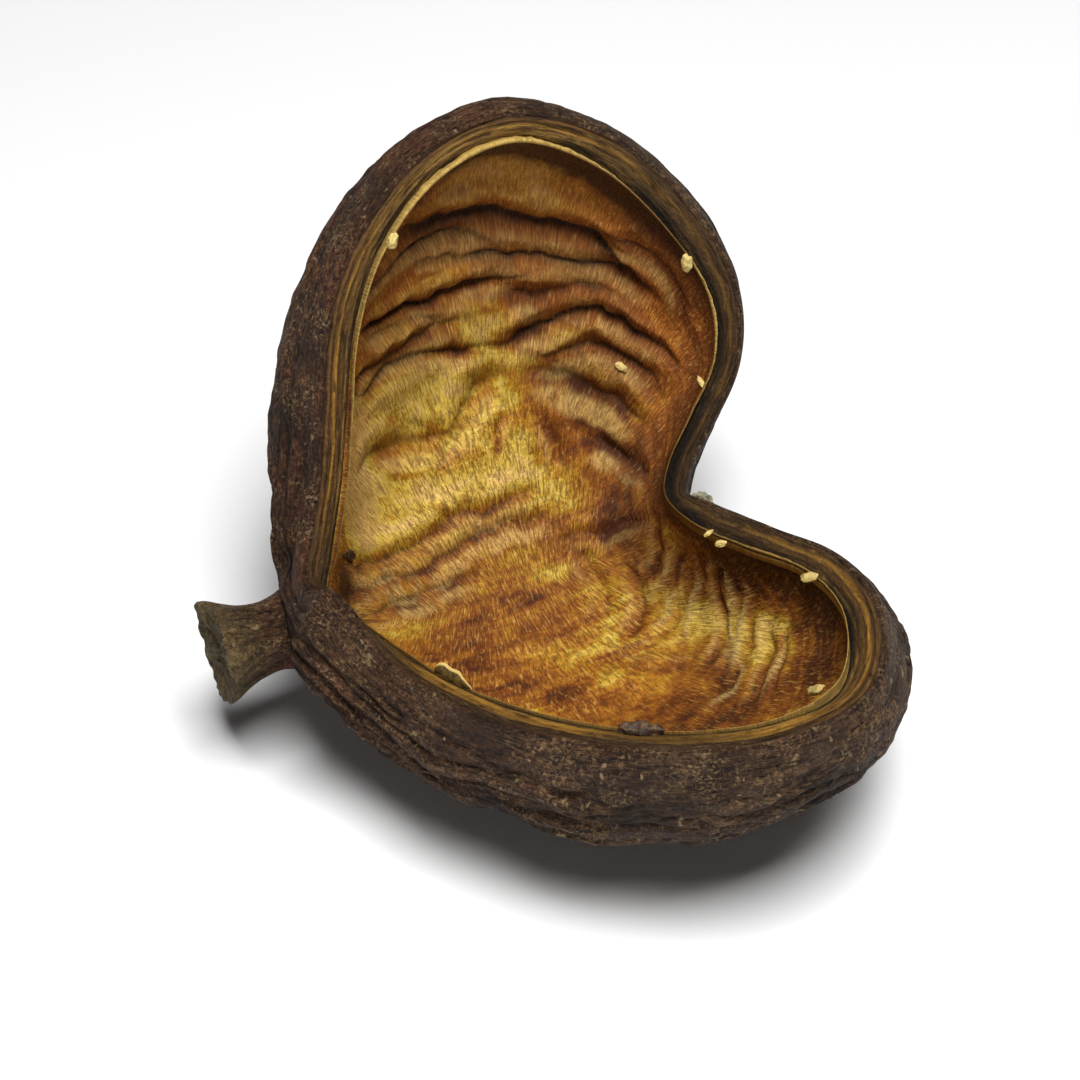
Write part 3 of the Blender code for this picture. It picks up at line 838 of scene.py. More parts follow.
class Wire:
    """A socket of a finish's nodes, with arithmetic."""

    def __init__(self, finish, socket):
        self.finish = finish
        self.socket = socket

    def maths(self, operation, *values):
        """The result of a Math node on these values."""
        inputs = dict(enumerate(values))
        return self.finish.add("ShaderNodeMath", {"operation": operation}, inputs)

    def __add__(self, other):
        return self.maths("ADD", self, other)

    __radd__ = __add__

    def __sub__(self, other):
        return self.maths("SUBTRACT", self, other)

    def __rsub__(self, other):
        return self.maths("SUBTRACT", other, self)

    def __mul__(self, other):
        return self.maths("MULTIPLY", self, other)

    __rmul__ = __mul__

    def above(self, low, high):
        """0 below low, 1 above high, and smooth between them."""
        return self.finish.add(
            "ShaderNodeMapRange",
            {"interpolation_type": "SMOOTHSTEP"},
            {"Value": self, "From Min": low, "From Max": high},
        )


class Finish:
    """A material in the making."""

    # Sockets of Blender's Mix node that share a name, by their number, for colours
    FACTOR = 0
    FIRST = 6
    SECOND = 7
    RESULT = 2

    def __init__(self, name, roughness, specular):
        self.material = bpy.data.materials.new(name)
        self.material.use_nodes = True
        self.tree = self.material.node_tree
        self.shader = self.tree.nodes["Principled BSDF"]
        self.shader.inputs["Roughness"].default_value = roughness
        self.shader.inputs["Specular IOR Level"].default_value = specular

    def add(self, kind, settings=None, inputs=None, output=0):
        """A node of that kind, with its settings and its sockets' values or links."""
        node = self.tree.nodes.new(kind)
        for name, value in (settings or {}).items():
            if name == "stops":
                self.set_stops(node.color_ramp, value)
            else:
                setattr(node, name, value)
        for name, value in (inputs or {}).items():
            self.feed(node.inputs[name], value)
        return Wire(self, node.outputs[output])

    def set_stops(self, ramp, stops):
        """Places the colours of a ramp."""
        while len(ramp.elements) < len(stops):
            ramp.elements.new(0.5)
        for element, (place, colour) in zip(ramp.elements, stops):
            element.position = place
            element.color = (*colour, 1.0)

    def feed(self, socket, value):
        """Links or sets a socket."""
        if isinstance(value, Wire):
            self.tree.links.new(value.socket, socket)
        elif socket.type == "RGBA":
            socket.default_value = (*value[:3], 1.0)
        else:
            socket.default_value = value

    def mark(self, name, output="Fac"):
        """A mark of the mesh's points, as a number or, from the output Vector, as a vector."""
        return self.add("ShaderNodeAttribute", {"attribute_name": name}, {}, output)

    def place(self):
        """The place on the object, in metres."""
        return self.add("ShaderNodeTexCoord", {}, {}, "Object")

    def stretched(self, vector, factors):
        """The vector with each of its parts multiplied."""
        settings = {"operation": "MULTIPLY"}
        return self.add("ShaderNodeVectorMath", settings, {0: vector, 1: factors})

    def noise(self, vector, scale, detail=3.0, roughness=0.55, distortion=0.0):
        """Soft noise around one half."""
        inputs = {
            "Vector": vector,
            "Scale": scale,
            "Detail": detail,
            "Roughness": roughness,
            "Distortion": distortion,
        }
        return self.add("ShaderNodeTexNoise", {}, inputs)

    def mix(self, factor, first, second):
        """One colour over another."""
        settings = {"data_type": "RGBA", "clamp_factor": True}
        inputs = {self.FACTOR: factor, self.FIRST: first, self.SECOND: second}
        return self.add("ShaderNodeMix", settings, inputs, self.RESULT)

    def over(self, base, *coats):
        """A colour under coats of others, each given as a factor and a colour."""
        for factor, colour in coats:
            base = self.mix(factor, base, colour)
        return base

    def ramp(self, factor, stops):
        """A colour picked from a row of colours."""
        return self.add("ShaderNodeValToRGB", {"stops": stops}, {0: factor})

    def relief(self, height, distance):
        """A bump of that height, in metres."""
        inputs = {"Height": height, "Distance": distance, "Strength": 1.0}
        return self.add("ShaderNodeBump", {}, inputs)

    def wear(self, colour, roughness=None, normal=None):
        """Feeds the shader and returns the material."""
        self.feed(self.shader.inputs["Base Color"], colour)
        if roughness:
            self.feed(self.shader.inputs["Roughness"], roughness)
        if normal:
            self.feed(self.shader.inputs["Normal"], normal)
        return self.material


def plain_bands():
    """The rim's bands where it is dark, as stops of a ramp from the lip outwards."""
    return (
        (0.00, paint(12, 8, 5)),
        (0.08, paint(30, 22, 15)),
        (0.14, paint(50, 38, 26)),
        (0.20, paint(66, 48, 32)),
        (0.27, paint(54, 40, 27)),
        (0.33, paint(74, 54, 35)),
        (0.40, paint(56, 39, 27)),
    )


def golden_bands(seam):
    """The rim's bands where its golden seam shows."""
    return (
        (0.00, paint(20, 13, 8)),
        (0.06, paint(40, 28, 16)),
        (0.10, paint(146, 110, 56)),
        (0.125, paint(70, 48, 26)),
        (0.165, paint(104, 72, 32)),
        (0.20, paint(72, 48, 24)),
        (0.23, seam),
        (0.26, paint(112, 78, 36)),
        (0.285, paint(46, 31, 19)),
        (0.31, paint(120, 84, 42)),
        (0.345, paint(60, 42, 28)),
    )


def front_bands(seam):
    """The rim's bands on the front of the pod, where the seam is widest."""
    return (
        (0.00, paint(30, 20, 11)),
        (0.045, paint(58, 40, 20)),
        (0.075, paint(168, 126, 52)),
        (0.115, seam),
        (0.15, paint(126, 88, 36)),
        (0.19, paint(156, 116, 46)),
        (0.225, paint(92, 62, 28)),
        (0.26, paint(34, 22, 13)),
        (0.31, paint(66, 46, 28)),
    )


def skin_colour(finish, colours, strands, hairs, grit, scurf):
    """The rind away from the rim: blotched, with dark and pale wrinkles, flecks, and painted shade
    in its creases.
    """
    place = finish.place()
    tone = finish.mark("tone").above(0.35, 0.65)
    blotches = finish.noise(place, 110.0, 4.0, 0.6).above(0.38, 0.62)
    broad = finish.noise(place, 62.0, 3.0, 0.6)
    flecks = scurf.above(0.50, 0.66) * finish.noise(place, 170.0, 3.0, 0.6).above(0.46, 0.62)
    dots = finish.noise(place, 520.0, 2.0, 0.5, 0.4).above(0.66, 0.74)
    pale_grit = grit.above(0.50, 0.66) * (0.25 + broad.above(0.40, 0.60) * 0.5)
    dry = finish.mix(grit.above(0.30, 0.70), paint(66, 54, 33), paint(118, 101, 62))
    dryness = finish.mark("olive") * (0.35 + strands.above(0.36, 0.58) * 0.6)
    weathered = finish.mix(tone, colours.rind_red, colours.rind_grey)
    return finish.over(
        finish.mix(blotches, colours.rind, weathered),
        (strands.above(0.54, 0.38) * 0.85, paint(20, 12, 8)),
        (hairs.above(0.52, 0.68) * 0.5, paint(132, 100, 66)),
        (pale_grit, paint(130, 98, 66)),
        (grit.above(0.48, 0.36) * 0.65, paint(18, 11, 8)),
        (broad.above(0.56, 0.36) * 0.5, paint(30, 18, 12)),
        (flecks * 0.45, paint(172, 144, 102)),
        (dots * 0.55, paint(176, 150, 110)),
        (dryness, dry),
        # Painted shade, near black, in the rind's creases and the stalk's valleys
        (finish.mark("pit") * 0.9, paint(16, 10, 7)),
    )


def rim_colour(finish, colours, lay, across, strands, hairs):
    """The rim's bands, golden where the seam shows, with broken lines and dark patches."""
    breaks = finish.noise(finish.stretched(lay, (0.16, 0.9, 1.0)), 1.0, 3.0, 0.6, 0.5)
    on_top = finish.mark("on_top") * across.above(0.62, 0.50) * breaks.above(0.62, 0.44)
    golden = finish.over(
        finish.ramp(across * 0.5, golden_bands(colours.seam)),
        (finish.mark("front"), finish.ramp(across * 0.5, front_bands(colours.seam))),
        (on_top * 0.75, paint(158, 124, 64)),
    )
    return finish.over(
        finish.ramp(across * 0.5, plain_bands()),
        (finish.mark("golden") * (1.1 - breaks.above(0.50, 0.64) * 0.7), golden),
        (hairs.above(0.50, 0.74) * 0.35, paint(156, 120, 62)),
        (strands.above(0.48, 0.30) * 0.75, paint(22, 14, 9)),
        (finish.mark("patch") * 0.92, paint(18, 13, 9)),
    )


def rind_finish(colours):
    """Dark, dry rind with long fine wrinkles, pale scurf and the rim's coloured bands."""
    finish = Finish("rind", 0.7, 0.18)
    lay = finish.mark("lay", "Vector")
    place = finish.place()
    strands = finish.noise(finish.stretched(lay, (0.24, 1.1, 1.0)), 1.0, 5.0, 0.62, 0.5)
    hairs = finish.noise(finish.stretched(lay, (0.45, 4.2, 1.0)), 1.0, 3.0, 0.6, 0.3)
    grit = finish.noise(place, 1250.0, 4.0, 0.75, 0.6)
    scurf = finish.noise(place, 1700.0, 3.0, 0.7)
    wander = finish.noise(finish.stretched(lay, (0.10, 0.4, 1.0)), 1.0, 4.0, 0.6)
    across = finish.mark("band") + (wander - 0.5) * 0.20
    skin = skin_colour(finish, colours, strands, hairs, grit, scurf)
    rim = rim_colour(finish, colours, lay, across, strands, hairs)
    colour = finish.mix(across.above(0.60, 0.80), rim, skin)
    normal = finish.relief(strands + hairs * 0.3 + grit * 0.5 + scurf * 0.2, 0.0013)
    roughness = 0.80 - hairs * 0.25 - (1 - across.above(0.7, 1.0)) * 0.1
    return finish.wear(colour, roughness, normal)


def lining_body(finish, colours, stain, streaks, fibres, hairs, mottle, speckle):
    """The lining's colour, yellow to brown, with painted tan highlights and painted shade at its
    folds.
    """
    patches = finish.noise(finish.place(), 48.0, 3.0, 0.55, 1.0)
    tone = stain * 0.5 + streaks * 1.1 + mottle * 1.15 + patches * 0.6 - 0.91
    rust = finish.mark("rust")
    # Painted highlights: tan on the folds' lit slopes, and pale on the pleats' ridges
    highlight_on_crests = finish.mark("crest").above(0.15, 0.75) * mottle.above(0.32, 0.56)
    worn = finish.mark("worn") * mottle.above(0.30, 0.52)
    base = finish.ramp(
        tone + (speckle - 0.5) * 0.3,
        (
            (0.10, colours.tan),
            (0.30, colours.yellow),
            (0.46, colours.ochre),
            (0.60, paint(170, 110, 32)),
            (0.78, colours.brown),
            (0.96, paint(78, 36, 14)),
        ),
    )
    base = finish.over(
        base,
        (rust * 0.6, paint(198, 112, 40)),
        # Painted highlights, tan on the folds' lit slopes and pale on the pleats' ridges
        (highlight_on_crests * (0.6 - rust * 0.15), colours.tan),
        (worn * 0.8, paint(222, 192, 118)),
    )
    darker = finish.mix(0.7, base, paint(78, 38, 12))
    base = finish.over(
        base,
        (fibres.above(0.53, 0.40) * (0.85 - rust * 0.3), darker),
        (hairs.above(0.50, 0.36) * 0.5, darker),
    )
    lighter = finish.mix(0.4, base, paint(248, 212, 122))
    return finish.over(
        base,
        (fibres.above(0.54, 0.68) * 0.65, lighter),
        # Painted shade, near black, in the folds' furrows
        (finish.mark("furrow") * 0.93, paint(34, 16, 7)),
    )


def lining_finish(colours, sizes):
    """Silky, fibrous lining with a thin pale edge."""
    finish = Finish("lining", 0.5, 0.3)
    grain = finish.mark("grain", "Vector")
    polar = finish.mark("polar", "Vector")
    stain = finish.mark("stain")
    place = finish.place()
    away = finish.mark("outward").above(0.30, 0.50)

    def both(factors, detail, roughness, distortion):
        """Noise that follows the fibres, straight in the middle and fanned in the lobes."""
        middle = finish.noise(finish.stretched(grain, factors), 1.0, detail, roughness, distortion)
        lobes = finish.noise(finish.stretched(polar, factors), 1.0, detail, roughness, distortion)
        return middle * (1 - away) + lobes * away

    fibres = both((3.4, 0.50, 1.0), 3.0, 0.6, 0.8)
    hairs = both((7.5, 1.1, 1.0), 2.0, 0.6, 0.5)
    streaks = both((0.07, 0.30, 1.0), 4.0, 0.6, 0.8)
    mottle = finish.noise(place, 120.0, 5.0, 0.65, 0.6)
    speckle = finish.noise(place, 620.0, 4.0, 0.7)
    edge = finish.over(
        paint(104, 68, 26),
        (finish.mark("pale") + (speckle - 0.5) * 0.5, colours.lip),
        (speckle.above(0.44, 0.64) * 0.5, paint(110, 76, 34)),
    )
    colour = finish.over(
        lining_body(finish, colours, stain, streaks, fibres, hairs, mottle, speckle),
        (finish.mark("lip").above(0.25, 0.75), edge),
        (finish.mark("shade") * 0.88, paint(42, 22, 9)),
    )
    height = fibres * 0.8 + hairs * 0.3 + mottle * 0.6 + speckle * 0.2
    normal = finish.relief(height, sizes.fibre * 0.007)
    roughness = 0.40 + fibres.above(0.56, 0.40) * 0.25 + stain * 0.1
    return finish.wear(colour, roughness, normal)


def stub_finish(colours):
    """Pale, dry, waxy stub."""
    finish = Finish("stub", 0.55, 0.4)
    place = finish.place()
    blotches = finish.noise(place, 700.0, 4.0, 0.6)
    pits = finish.noise(place, 2200.0, 3.0, 0.6)
    colour = finish.mix(blotches.above(0.48, 0.68) * 0.6, colours.stub, paint(150, 112, 52))
    colour = finish.mix(pits.above(0.60, 0.72) * 0.5, colour, paint(110, 80, 36))
    return finish.wear(colour, normal=finish.relief(pits + blotches, 0.00025))


def flake_finish():
    """Dark flake with a pale edge; its face is brown, darkened as painted shade beneath the edge."""
    finish = Finish("flake", 0.6, 0.3)
    spots = finish.noise(finish.place(), 900.0, 4.0, 0.6)
    # Brown face, darkened as painted shade beneath the pale edge
    dark = finish.mix(spots.above(0.35, 0.65), paint(60, 44, 22), paint(108, 84, 38))
    edge = finish.mark("edge").above(0.2, 0.7)
    colour = finish.mix(edge * 0.95, dark, paint(208, 178, 104))
    return finish.wear(colour, normal=finish.relief(spots, 0.0003))


def crust_finish(name, dark, light):
    """Dark, slightly shiny crust."""
    finish = Finish(name, 0.5, 0.4)
    spots = finish.noise(finish.place(), 800.0, 4.0, 0.65)
    colour = finish.mix(spots.above(0.42, 0.68), dark, light)
    return finish.wear(colour, normal=finish.relief(spots, 0.0006))


def beak_finish():
    """Grey-green, weathered tissue of the beak."""
    finish = Finish("beak", 0.85, 0.2)
    place = finish.place()
    blotches = finish.noise(place, 600.0, 4.0, 0.65)
    pits = finish.noise(place, 1700.0, 3.0, 0.6)
    colour = finish.mix(blotches.above(0.38, 0.62), paint(98, 84, 60), paint(158, 158, 132))
    colour = finish.mix(pits.above(0.55, 0.70), colour, paint(54, 42, 30))
    return finish.wear(colour, normal=finish.relief(pits + blotches, 0.0005))


def beside(rim, places, points, reach):
    """Which places lie near a line and, for each, its offset from the line, the way the line
    runs there, and how far it is from the line's nearer end as a share of its length."""
    ends = np.array(points, dtype=float)
    line = smooth_curve(rim.on_disc(ends[:, 0], ends[:, 1]), False, 10)
    low = line.min(axis=0) - reach
    high = line.max(axis=0) + reach
    near = np.flatnonzero(((places > low) & (places < high)).all(axis=1))
    away = places[near, None, :] - line[None, :, :]
    nearest = np.argmin((away**2).sum(axis=2), axis=1)
    offset = away[np.arange(len(near)), nearest]
    run = np.gradient(line, axis=0)[nearest]
    last = len(line) - 1
    return near, offset, run, np.minimum(nearest, last - nearest) / last


def lift(values, near, amount):
    """Lifts the values of those places to the amount, where it is more."""
    values[near] = np.maximum(values[near], amount)


def fold_marks(rim, angle, share, depth_scale):
    """The folds' height and, for each place, how much painted shade it gets in the folds' furrows
    and about them, and how much painted highlight on their lit slopes and on a pleat's ridge."""
    places = rim.on_disc(angle, share).reshape(-1, 2)
    height, furrow, hollow, crest, worn = (np.zeros(len(places)) for _ in range(5))
    level = np.c_[places, 0 * places[:, :1]]
    wobble = lumps(level, 3.2, 5) * 0.55 + lumps(level, 8.0, 6) * 0.7
    for points, depth, width in FOLDS:
        near, offset, run, from_end = beside(rim, places, points, 9.0)
        side = np.sign(run[:, 0] * offset[:, 1] - run[:, 1] * offset[:, 0])
        off = (side * np.linalg.norm(offset, axis=1) + wobble[near]) / width
        fade = step(from_end, -0.04, 0.24)
        wide = np.where(off > 0, 0.65, 1.6) * (0.45 + 0.55 * fade)
        trough = np.exp(-((np.abs(off) / wide) ** 1.15))
        brow = bump(off, 2.3, 1.25)
        foot = bump(off, -2.9, 1.5)
        # Painted shade, dark down the middle of the folds' furrows and softer about them, and
        # painted highlights on the slopes beside them that face the light
        dark = bump(off, -0.08, 0.36 + 0.16 * min(depth / 2, 1))
        shade_about_furrow = bump(off, -0.6, 1.7)
        lit = 0.35 * brow + bump(off, -2.3, 1.2)
        height[near] += depth * depth_scale * fade * (0.62 * brow + 0.30 * foot - trough)
        lift(furrow, near, dark * fade * min(depth / 1.7, 1.0))
        lift(hollow, near, shade_about_furrow * fade * min(depth / 1.4, 1.0))
        lift(crest, near, lit * fade * min(depth / 1.2, 1.0))
    # Painted highlights along the pleats' ridges, which also rise a little
    for points, width in PALE_LINES:
        near, offset, _, from_end = beside(rim, places, points, 3.0)
        uneven = (1 + 0.6 * wobble[near]).clip(0.4, 1.8)
        ridge = step(from_end, -0.02, 0.2) * bump(np.linalg.norm(offset, axis=1), 0, width * uneven)
        height[near] += 0.30 * depth_scale * ridge
        lift(worn, near, ridge)
    shape = np.shape(share)
    return [values.reshape(shape) for values in (height, furrow, hollow, crest, worn)]


def lining_stain_and_shade(angle, share):
    """How stained each place of the lining is, with painted shade under the top lip and the notch.
    """
    turn = np.radians(angle)
    across = share * np.cos(turn)
    along = share * np.sin(turn)
    total = np.zeros(np.shape(share))
    for place, out, size, amount in PATCHES:
        x = out * math.cos(math.radians(place))
        y = out * math.sin(math.radians(place))
        total += amount * np.exp(-((across - x) ** 2 + (along - y) ** 2) / (1.3 * size) ** 2)
    # Darker in a band just inside the lip on the upper left
    return total + 0.8 * step(share, 0.955, 0.985) * bump(angle, 146, 40)


def rim_look(rim):
    """The columns of the rim's look at each of its points."""
    look = np.array(RIM_LOOK)
    return [np.interp(rim.angle, look[:, 0], look[:, k]) for k in range(1, look.shape[1])]


def lip_rings(rim, sizes):
    """Rings of the lining's lip, rolled over the rim's inner edge, and how pale each is."""
    tall, thick, pale, _ = rim_look(rim)
    ragged = lumps(rim.edge, 1.1, 11) * 0.45 + lumps(rim.edge, 5.0, 12) * 0.35
    torn = step(lumps(rim.edge, 3.4, 13), 0.15, 0.55) * (1 - 0.7 * pale)
    tall = sizes.lip * tall * (1 + 1.3 * ragged) * (1 - 0.8 * torn)
    thick = thick * (1 + 0.6 * ragged)
    rings = []
    for across, high in LIP_SECTION:
        rise = high * tall if high > 0 else np.full(len(tall), high)
        offset = across * thick
        rings.append(rim.edge + rim.out * offset[:, None] + rim.up * rise[:, None])
    return np.stack(rings), pale


def ripples(rim, angle, share, radial):
    """Fine pleats between the folds: round the upper lobe and outwards in the lower one."""
    turn = np.radians(angle)
    round_it = np.stack([radial / 3.2, turn * 3.4, 0 * radial], axis=-1)
    close = np.stack([radial / 1.5, turn * 5.0 + 9, 0 * radial], axis=-1)
    outwards = np.stack([turn * 15.0, radial / 14.0, 0 * radial], axis=-1)
    above = step(angle, 0, 16) * (1 - step(angle, 118, 150)) * step(share, 0.38, 0.52)
    below = step(-angle, 6, 20) * (1 - step(-angle, 60, 85)) * step(share, 0.36, 0.5)
    fading = 1 - step(share, 0.80, 0.95)
    upper = lumps(round_it, 1.0, 8) * 0.38 + lumps(close, 1.0, 9) * 0.17
    return fading * (above * upper + below * lumps(outwards, 1.0, 10) * 0.32)


def lining_shade(wall, angle, share, hollow):
    """How dark the shade is under the lip, beside the crust and the flake, and in deep folds."""
    above = np.where(angle > 0, 1.0, 0.0)
    ragged = share + 0.02 * lumps(wall, 2.5, 51)
    under_lip = (
        above * step(ragged, 0.88, 0.97) * bump(angle, 74, 50)
        + above * step(ragged, 0.815, 0.90) * bump(angle, 82, 30)
        + 0.8 * above * step(ragged, 0.80, 0.91) * bump(angle, 60, 24)
        + 0.5 * step(ragged, 0.88, 0.97) * bump(angle, -28, 26)
        + 0.6 * step(share, 0.74, 0.93) * bump(angle, -32, 20)
        + 0.55 * step(ragged, 0.82, 0.93) * bump(angle, -5, 15)
    )
    by_crust = 1.5 * bump(angle, 174, 6) * bump(share, 0.57, 0.055)
    by_flake = 0.7 * bump(angle, FLAKE[0], 3.5) * step(share, 0.93, 0.97)
    in_folds = 0.42 * hollow * bump(angle, 75, 52) * step(share, 0.45, 0.62)
    return under_lip + by_crust + by_flake + in_folds


def lining_wall(rim, shares, sizes):
    """The lining's face with its folds, and its marks."""
    wall = inner_rings(rim, shares)
    share, angle = np.meshgrid(shares, rim.angle, indexing="ij")
    height, furrow, hollow, crest, worn = fold_marks(rim, angle, share, sizes.fold)
    places = rim.on_disc(angle, share)
    radial = np.hypot(places[..., 0], places[..., 1])
    dents = lumps(wall, 13.0, 3) * 0.55 + lumps(wall, 5.5, 4) * 0.2
    swell = dents * step(1 - share, 0.0, 0.2) + ripples(rim, angle, share, radial)
    raised = (height + swell) * step(1 - share, 0.0, 0.06)
    wall = wall - normals(wall) * raised[..., None]
    fan = (1 + np.abs(wall[..., 1]) / 30) ** 1.2
    lip = step(share, 0.992, 0.999)
    marks = {
        "grain": np.stack([(wall[..., 0] - 40) / fan, wall[..., 1], 0 * fan], axis=-1),
        "polar": np.stack([np.radians(angle) * 45, radial, 0 * radial], axis=-1),
        "outward": share,
        # Painted shade in the folds' furrows, and painted highlights on their lit slopes and on the
        # pleats' ridges
        "furrow": np.clip(furrow, 0, 1),
        "crest": np.clip(crest, 0, 1),
        "worn": np.clip(worn, 0, 1),
        "rust": step(share, 0.42, 0.62) * bump(angle, 72, 58),
        # Stains, with painted shade under the top lip, below the notch and about the folds' furrows
        "stain": lining_stain_and_shade(angle, share) + 0.72 * hollow,
        "shade": np.clip(lining_shade(wall, angle, share, hollow) * (1 - lip), 0, 1),
        "lip": lip,
    }
    return wall, marks


def make_lining(sizes, finish):
    """The hollow's lining, with its folds and the thin lip along its edge."""
    rim = Rim(SEGMENTS)
    shares = np.concatenate(
        [
            np.linspace(0.01, 0.30, MIDDLE_RINGS, endpoint=False),
            np.linspace(0.30, 0.965, FOLD_RINGS, endpoint=False),
            np.linspace(0.965, 1.0, EDGE_RINGS),
        ]
    )
    wall, marks = lining_wall(rim, shares, sizes)
    lip, pale = lip_rings(rim, sizes)
    back = behind(rim, 0.95, 0.5, 0.16)[::-1]
    rings = np.concatenate([wall, lip, back])
    for mark, values in marks.items():
        rest = [values[-1:]] * (len(rings) - len(wall))
        marks[mark] = np.concatenate([values] + rest)
    marks["pale"] = np.broadcast_to(pale, rings.shape[:2])
    piece("lining", rings, tube(rings), marks, finish)


def rind_height(rim, rings, shares, wrinkle):
    """Height of the rind's wrinkles, and how much painted shade each place gets in its creases and
    in the groove by the stalk's corner.
    """
    share, angle = np.meshgrid(shares, rim.angle, indexing="ij")
    across = (1 - share) * RIND_LENGTH
    around = np.broadcast_to(rim.run, share.shape)
    turn = around / around.max() * 2 * math.pi
    radius = around.max() / (2 * math.pi)
    sway = lumps(rings, 16.0, 21) * 4.5 + lumps(rings, 6.5, 22) * 1.4

    def long_noise(size, stretch, seed):
        """Noise drawn out round the pod."""
        loop = radius / stretch
        spot = [loop * np.cos(turn), loop * np.sin(turn), across + sway]
        return lumps(np.stack(spot, axis=-1), size, seed)

    big = long_noise(6.5, 3.6, 23)
    middle = long_noise(2.8, 6.0, 24)
    small = long_noise(1.4, 6.0, 25)
    cracks = 1 - np.abs(long_noise(4.4, 6.0, 26)) * 2.4
    creases = np.clip(cracks, 0, 1) ** 3
    crumple = lumps(rings, 5.0, 27) * 0.32 + lumps(rings, 2.0, 28) * 0.17
    relief = 0.55 * big + 0.58 * middle + 0.34 * small + crumple - 0.7 * creases
    strength = 0.85 + 0.60 * rim.lower + 0.35 * rim.stalk_side
    spacing = np.linalg.norm(np.roll(rings, -1, axis=1) - rings, axis=2)
    room = step(spacing, 0.05, 0.45)
    ease = 0.50 + 0.50 * step(1 - share, 0.0, 0.10) + 0.6 * step(1 - share, 0.10, 0.32)
    between = bump(rim.past, -6, 3.0) * step(share, 0.78, 0.93)
    # Painted shade along the creases, and in the groove on the upper half beside the stalk's corner
    pit = np.clip(creases * 0.9 - 0.2, 0, 1) * room + 0.8 * between
    return wrinkle * relief * strength * room * ease - 1.6 * between, np.clip(pit, 0, 1)


def rim_surface(rim):
    """Rings over the rim, with its fine lines, and the place of each in its bands of colour."""
    knots = np.array(RIM_SECTION)
    shares = np.linspace(knots[0, 0], 1.0, RIM_RINGS)
    heights = np.interp(shares, knots[:, 0], knots[:, 1])
    bare = 1 - 0.85 * np.clip(rim.raised / SHOULDER_RISE, 0, 1)
    zero = 0 * rim.run
    drift = lumps(np.stack([rim.run, zero, zero], axis=-1), 14.0, 33) * 0.05
    rings = []
    bands = []
    for share, height in zip(shares, heights):
        spot = np.stack([rim.run / 9.0, zero + share * 9.0, zero], axis=-1)
        finer = spot * np.array((2.2, 2.6, 1.0))
        fine_lines = lumps(spot, 1.0, 31) * 0.32 + lumps(finer, 1.0, 32) * 0.16
        relief = height * np.where(share < 0.85, bare, 1.0)
        relief = relief * (1 - 0.8 * rim.front * (1 - step(share, 0.22, 0.36)))
        relief = relief + fine_lines * math.sin(math.pi * min(max(share, 0.08), 1.0))
        rings.append(rim.section(share, relief))
        bands.append(share + drift + 0.5 * (1 - bare) * step(share, 0.1, 0.4))
    return np.stack(rings), np.stack(bands)


def groove_marks(rim, rings, band):
    """How dark each place is for the patches in the groove outside the lip."""
    ragged = 1 + 0.5 * lumps(rings, 3.0, 34)
    patch = np.zeros(band.shape)
    for middle, half, share, wide in GROOVE_PATCHES:
        spot = np.exp(-(((rim.angle - middle) / (half * ragged)) ** 4)) * bump(band, share, wide)
        patch = np.maximum(patch, spot)
    return patch


def husk_marks(rim, rings, rim_bands, rind_shares, pit):
    """The marks of the husk's rings: first inside it, then over the rim and down the rind."""
    steps = np.linalg.norm(np.diff(rings, axis=0), axis=2).mean(axis=1)
    across = np.concatenate(([0.0], np.cumsum(steps)))[:, None] + 0 * rings[..., 0]
    around = np.broadcast_to(rim.run, across.shape)
    down = np.broadcast_to(1 - rind_shares[:, None], pit.shape)
    band = np.concatenate([np.zeros((BACK_RINGS, SEGMENTS)), rim_bands, 1.0 + 0.6 * down])
    # Painted shade in the creases, on the rind's rings only
    deep = np.zeros(band.shape)
    deep[-len(pit):] = pit
    tone = 0.5 - 0.42 * bump(rim.angle, 135, 55) + 0.35 * bump(rim.angle, 25, 55)
    tone = tone + 0.18 * bump(rim.angle, -60, 45)
    marks = {
        "lay": np.stack([around, across, 0 * across], axis=-1),
        "band": band,
        "pit": deep,
        "patch": groove_marks(rim, rings, band),
    }
    round_the_rim = {
        "tone": tone,
        "golden": rim_look(rim)[3],
        "front": rim.front,
        "on_top": bump(rim.angle, 84, 24),
    }
    for name, values in round_the_rim.items():
        marks[name] = np.broadcast_to(values, band.shape)
    return marks


def make_husk(sizes, finish):
    """The rind and the rim, as one closed body with a plain inside behind the lining."""
    rim = Rim(SEGMENTS)
    over_rim, rim_bands = rim_surface(rim)
    shares = np.linspace(0.02, 1.0, OUTER_RINGS)
    outer = outer_rings(rim, shares)
    height, pit = rind_height(rim, outer, shares, sizes.wrinkle)
    joint = (over_rim[-1] - outer[-1])[None] * step(shares, 0.9, 1.0)[:, None, None]
    outer = outer + normals(outer) * height[..., None] + joint
    rings = np.concatenate([behind(rim, 0.94, 0.8, 0.13), over_rim, outer[-2::-1]])
    marks = husk_marks(rim, rings, rim_bands, shares[-2::-1], pit[-2::-1])
    husk = piece("husk", rings, tube(rings), marks, finish)
    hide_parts(NODE)


def torn_end(last):
    """Rings that close the stalk's end, chipped, and rounder towards their middle."""
    middle = last.mean(axis=0)
    length = np.linalg.norm(last - middle, axis=1)
    spread = length.mean() / length
    rings = []
    for inset in (0.93, 0.8, 0.6, 0.38, 0.15):
        rounded = inset * (1 + (spread - 1) * (1 - inset) ** 0.7)
        ring = middle + (last - middle) * rounded[:, None]
        chips = lumps(ring, 3.2, 44) * 1.6 + lumps(ring, 1.2, 45) * 0.8
        ring[:, 0] += 0.9 * (1 - inset) ** 0.8 - chips * 0.9 * (1 - inset**6)
        rings.append(ring)
    return rings


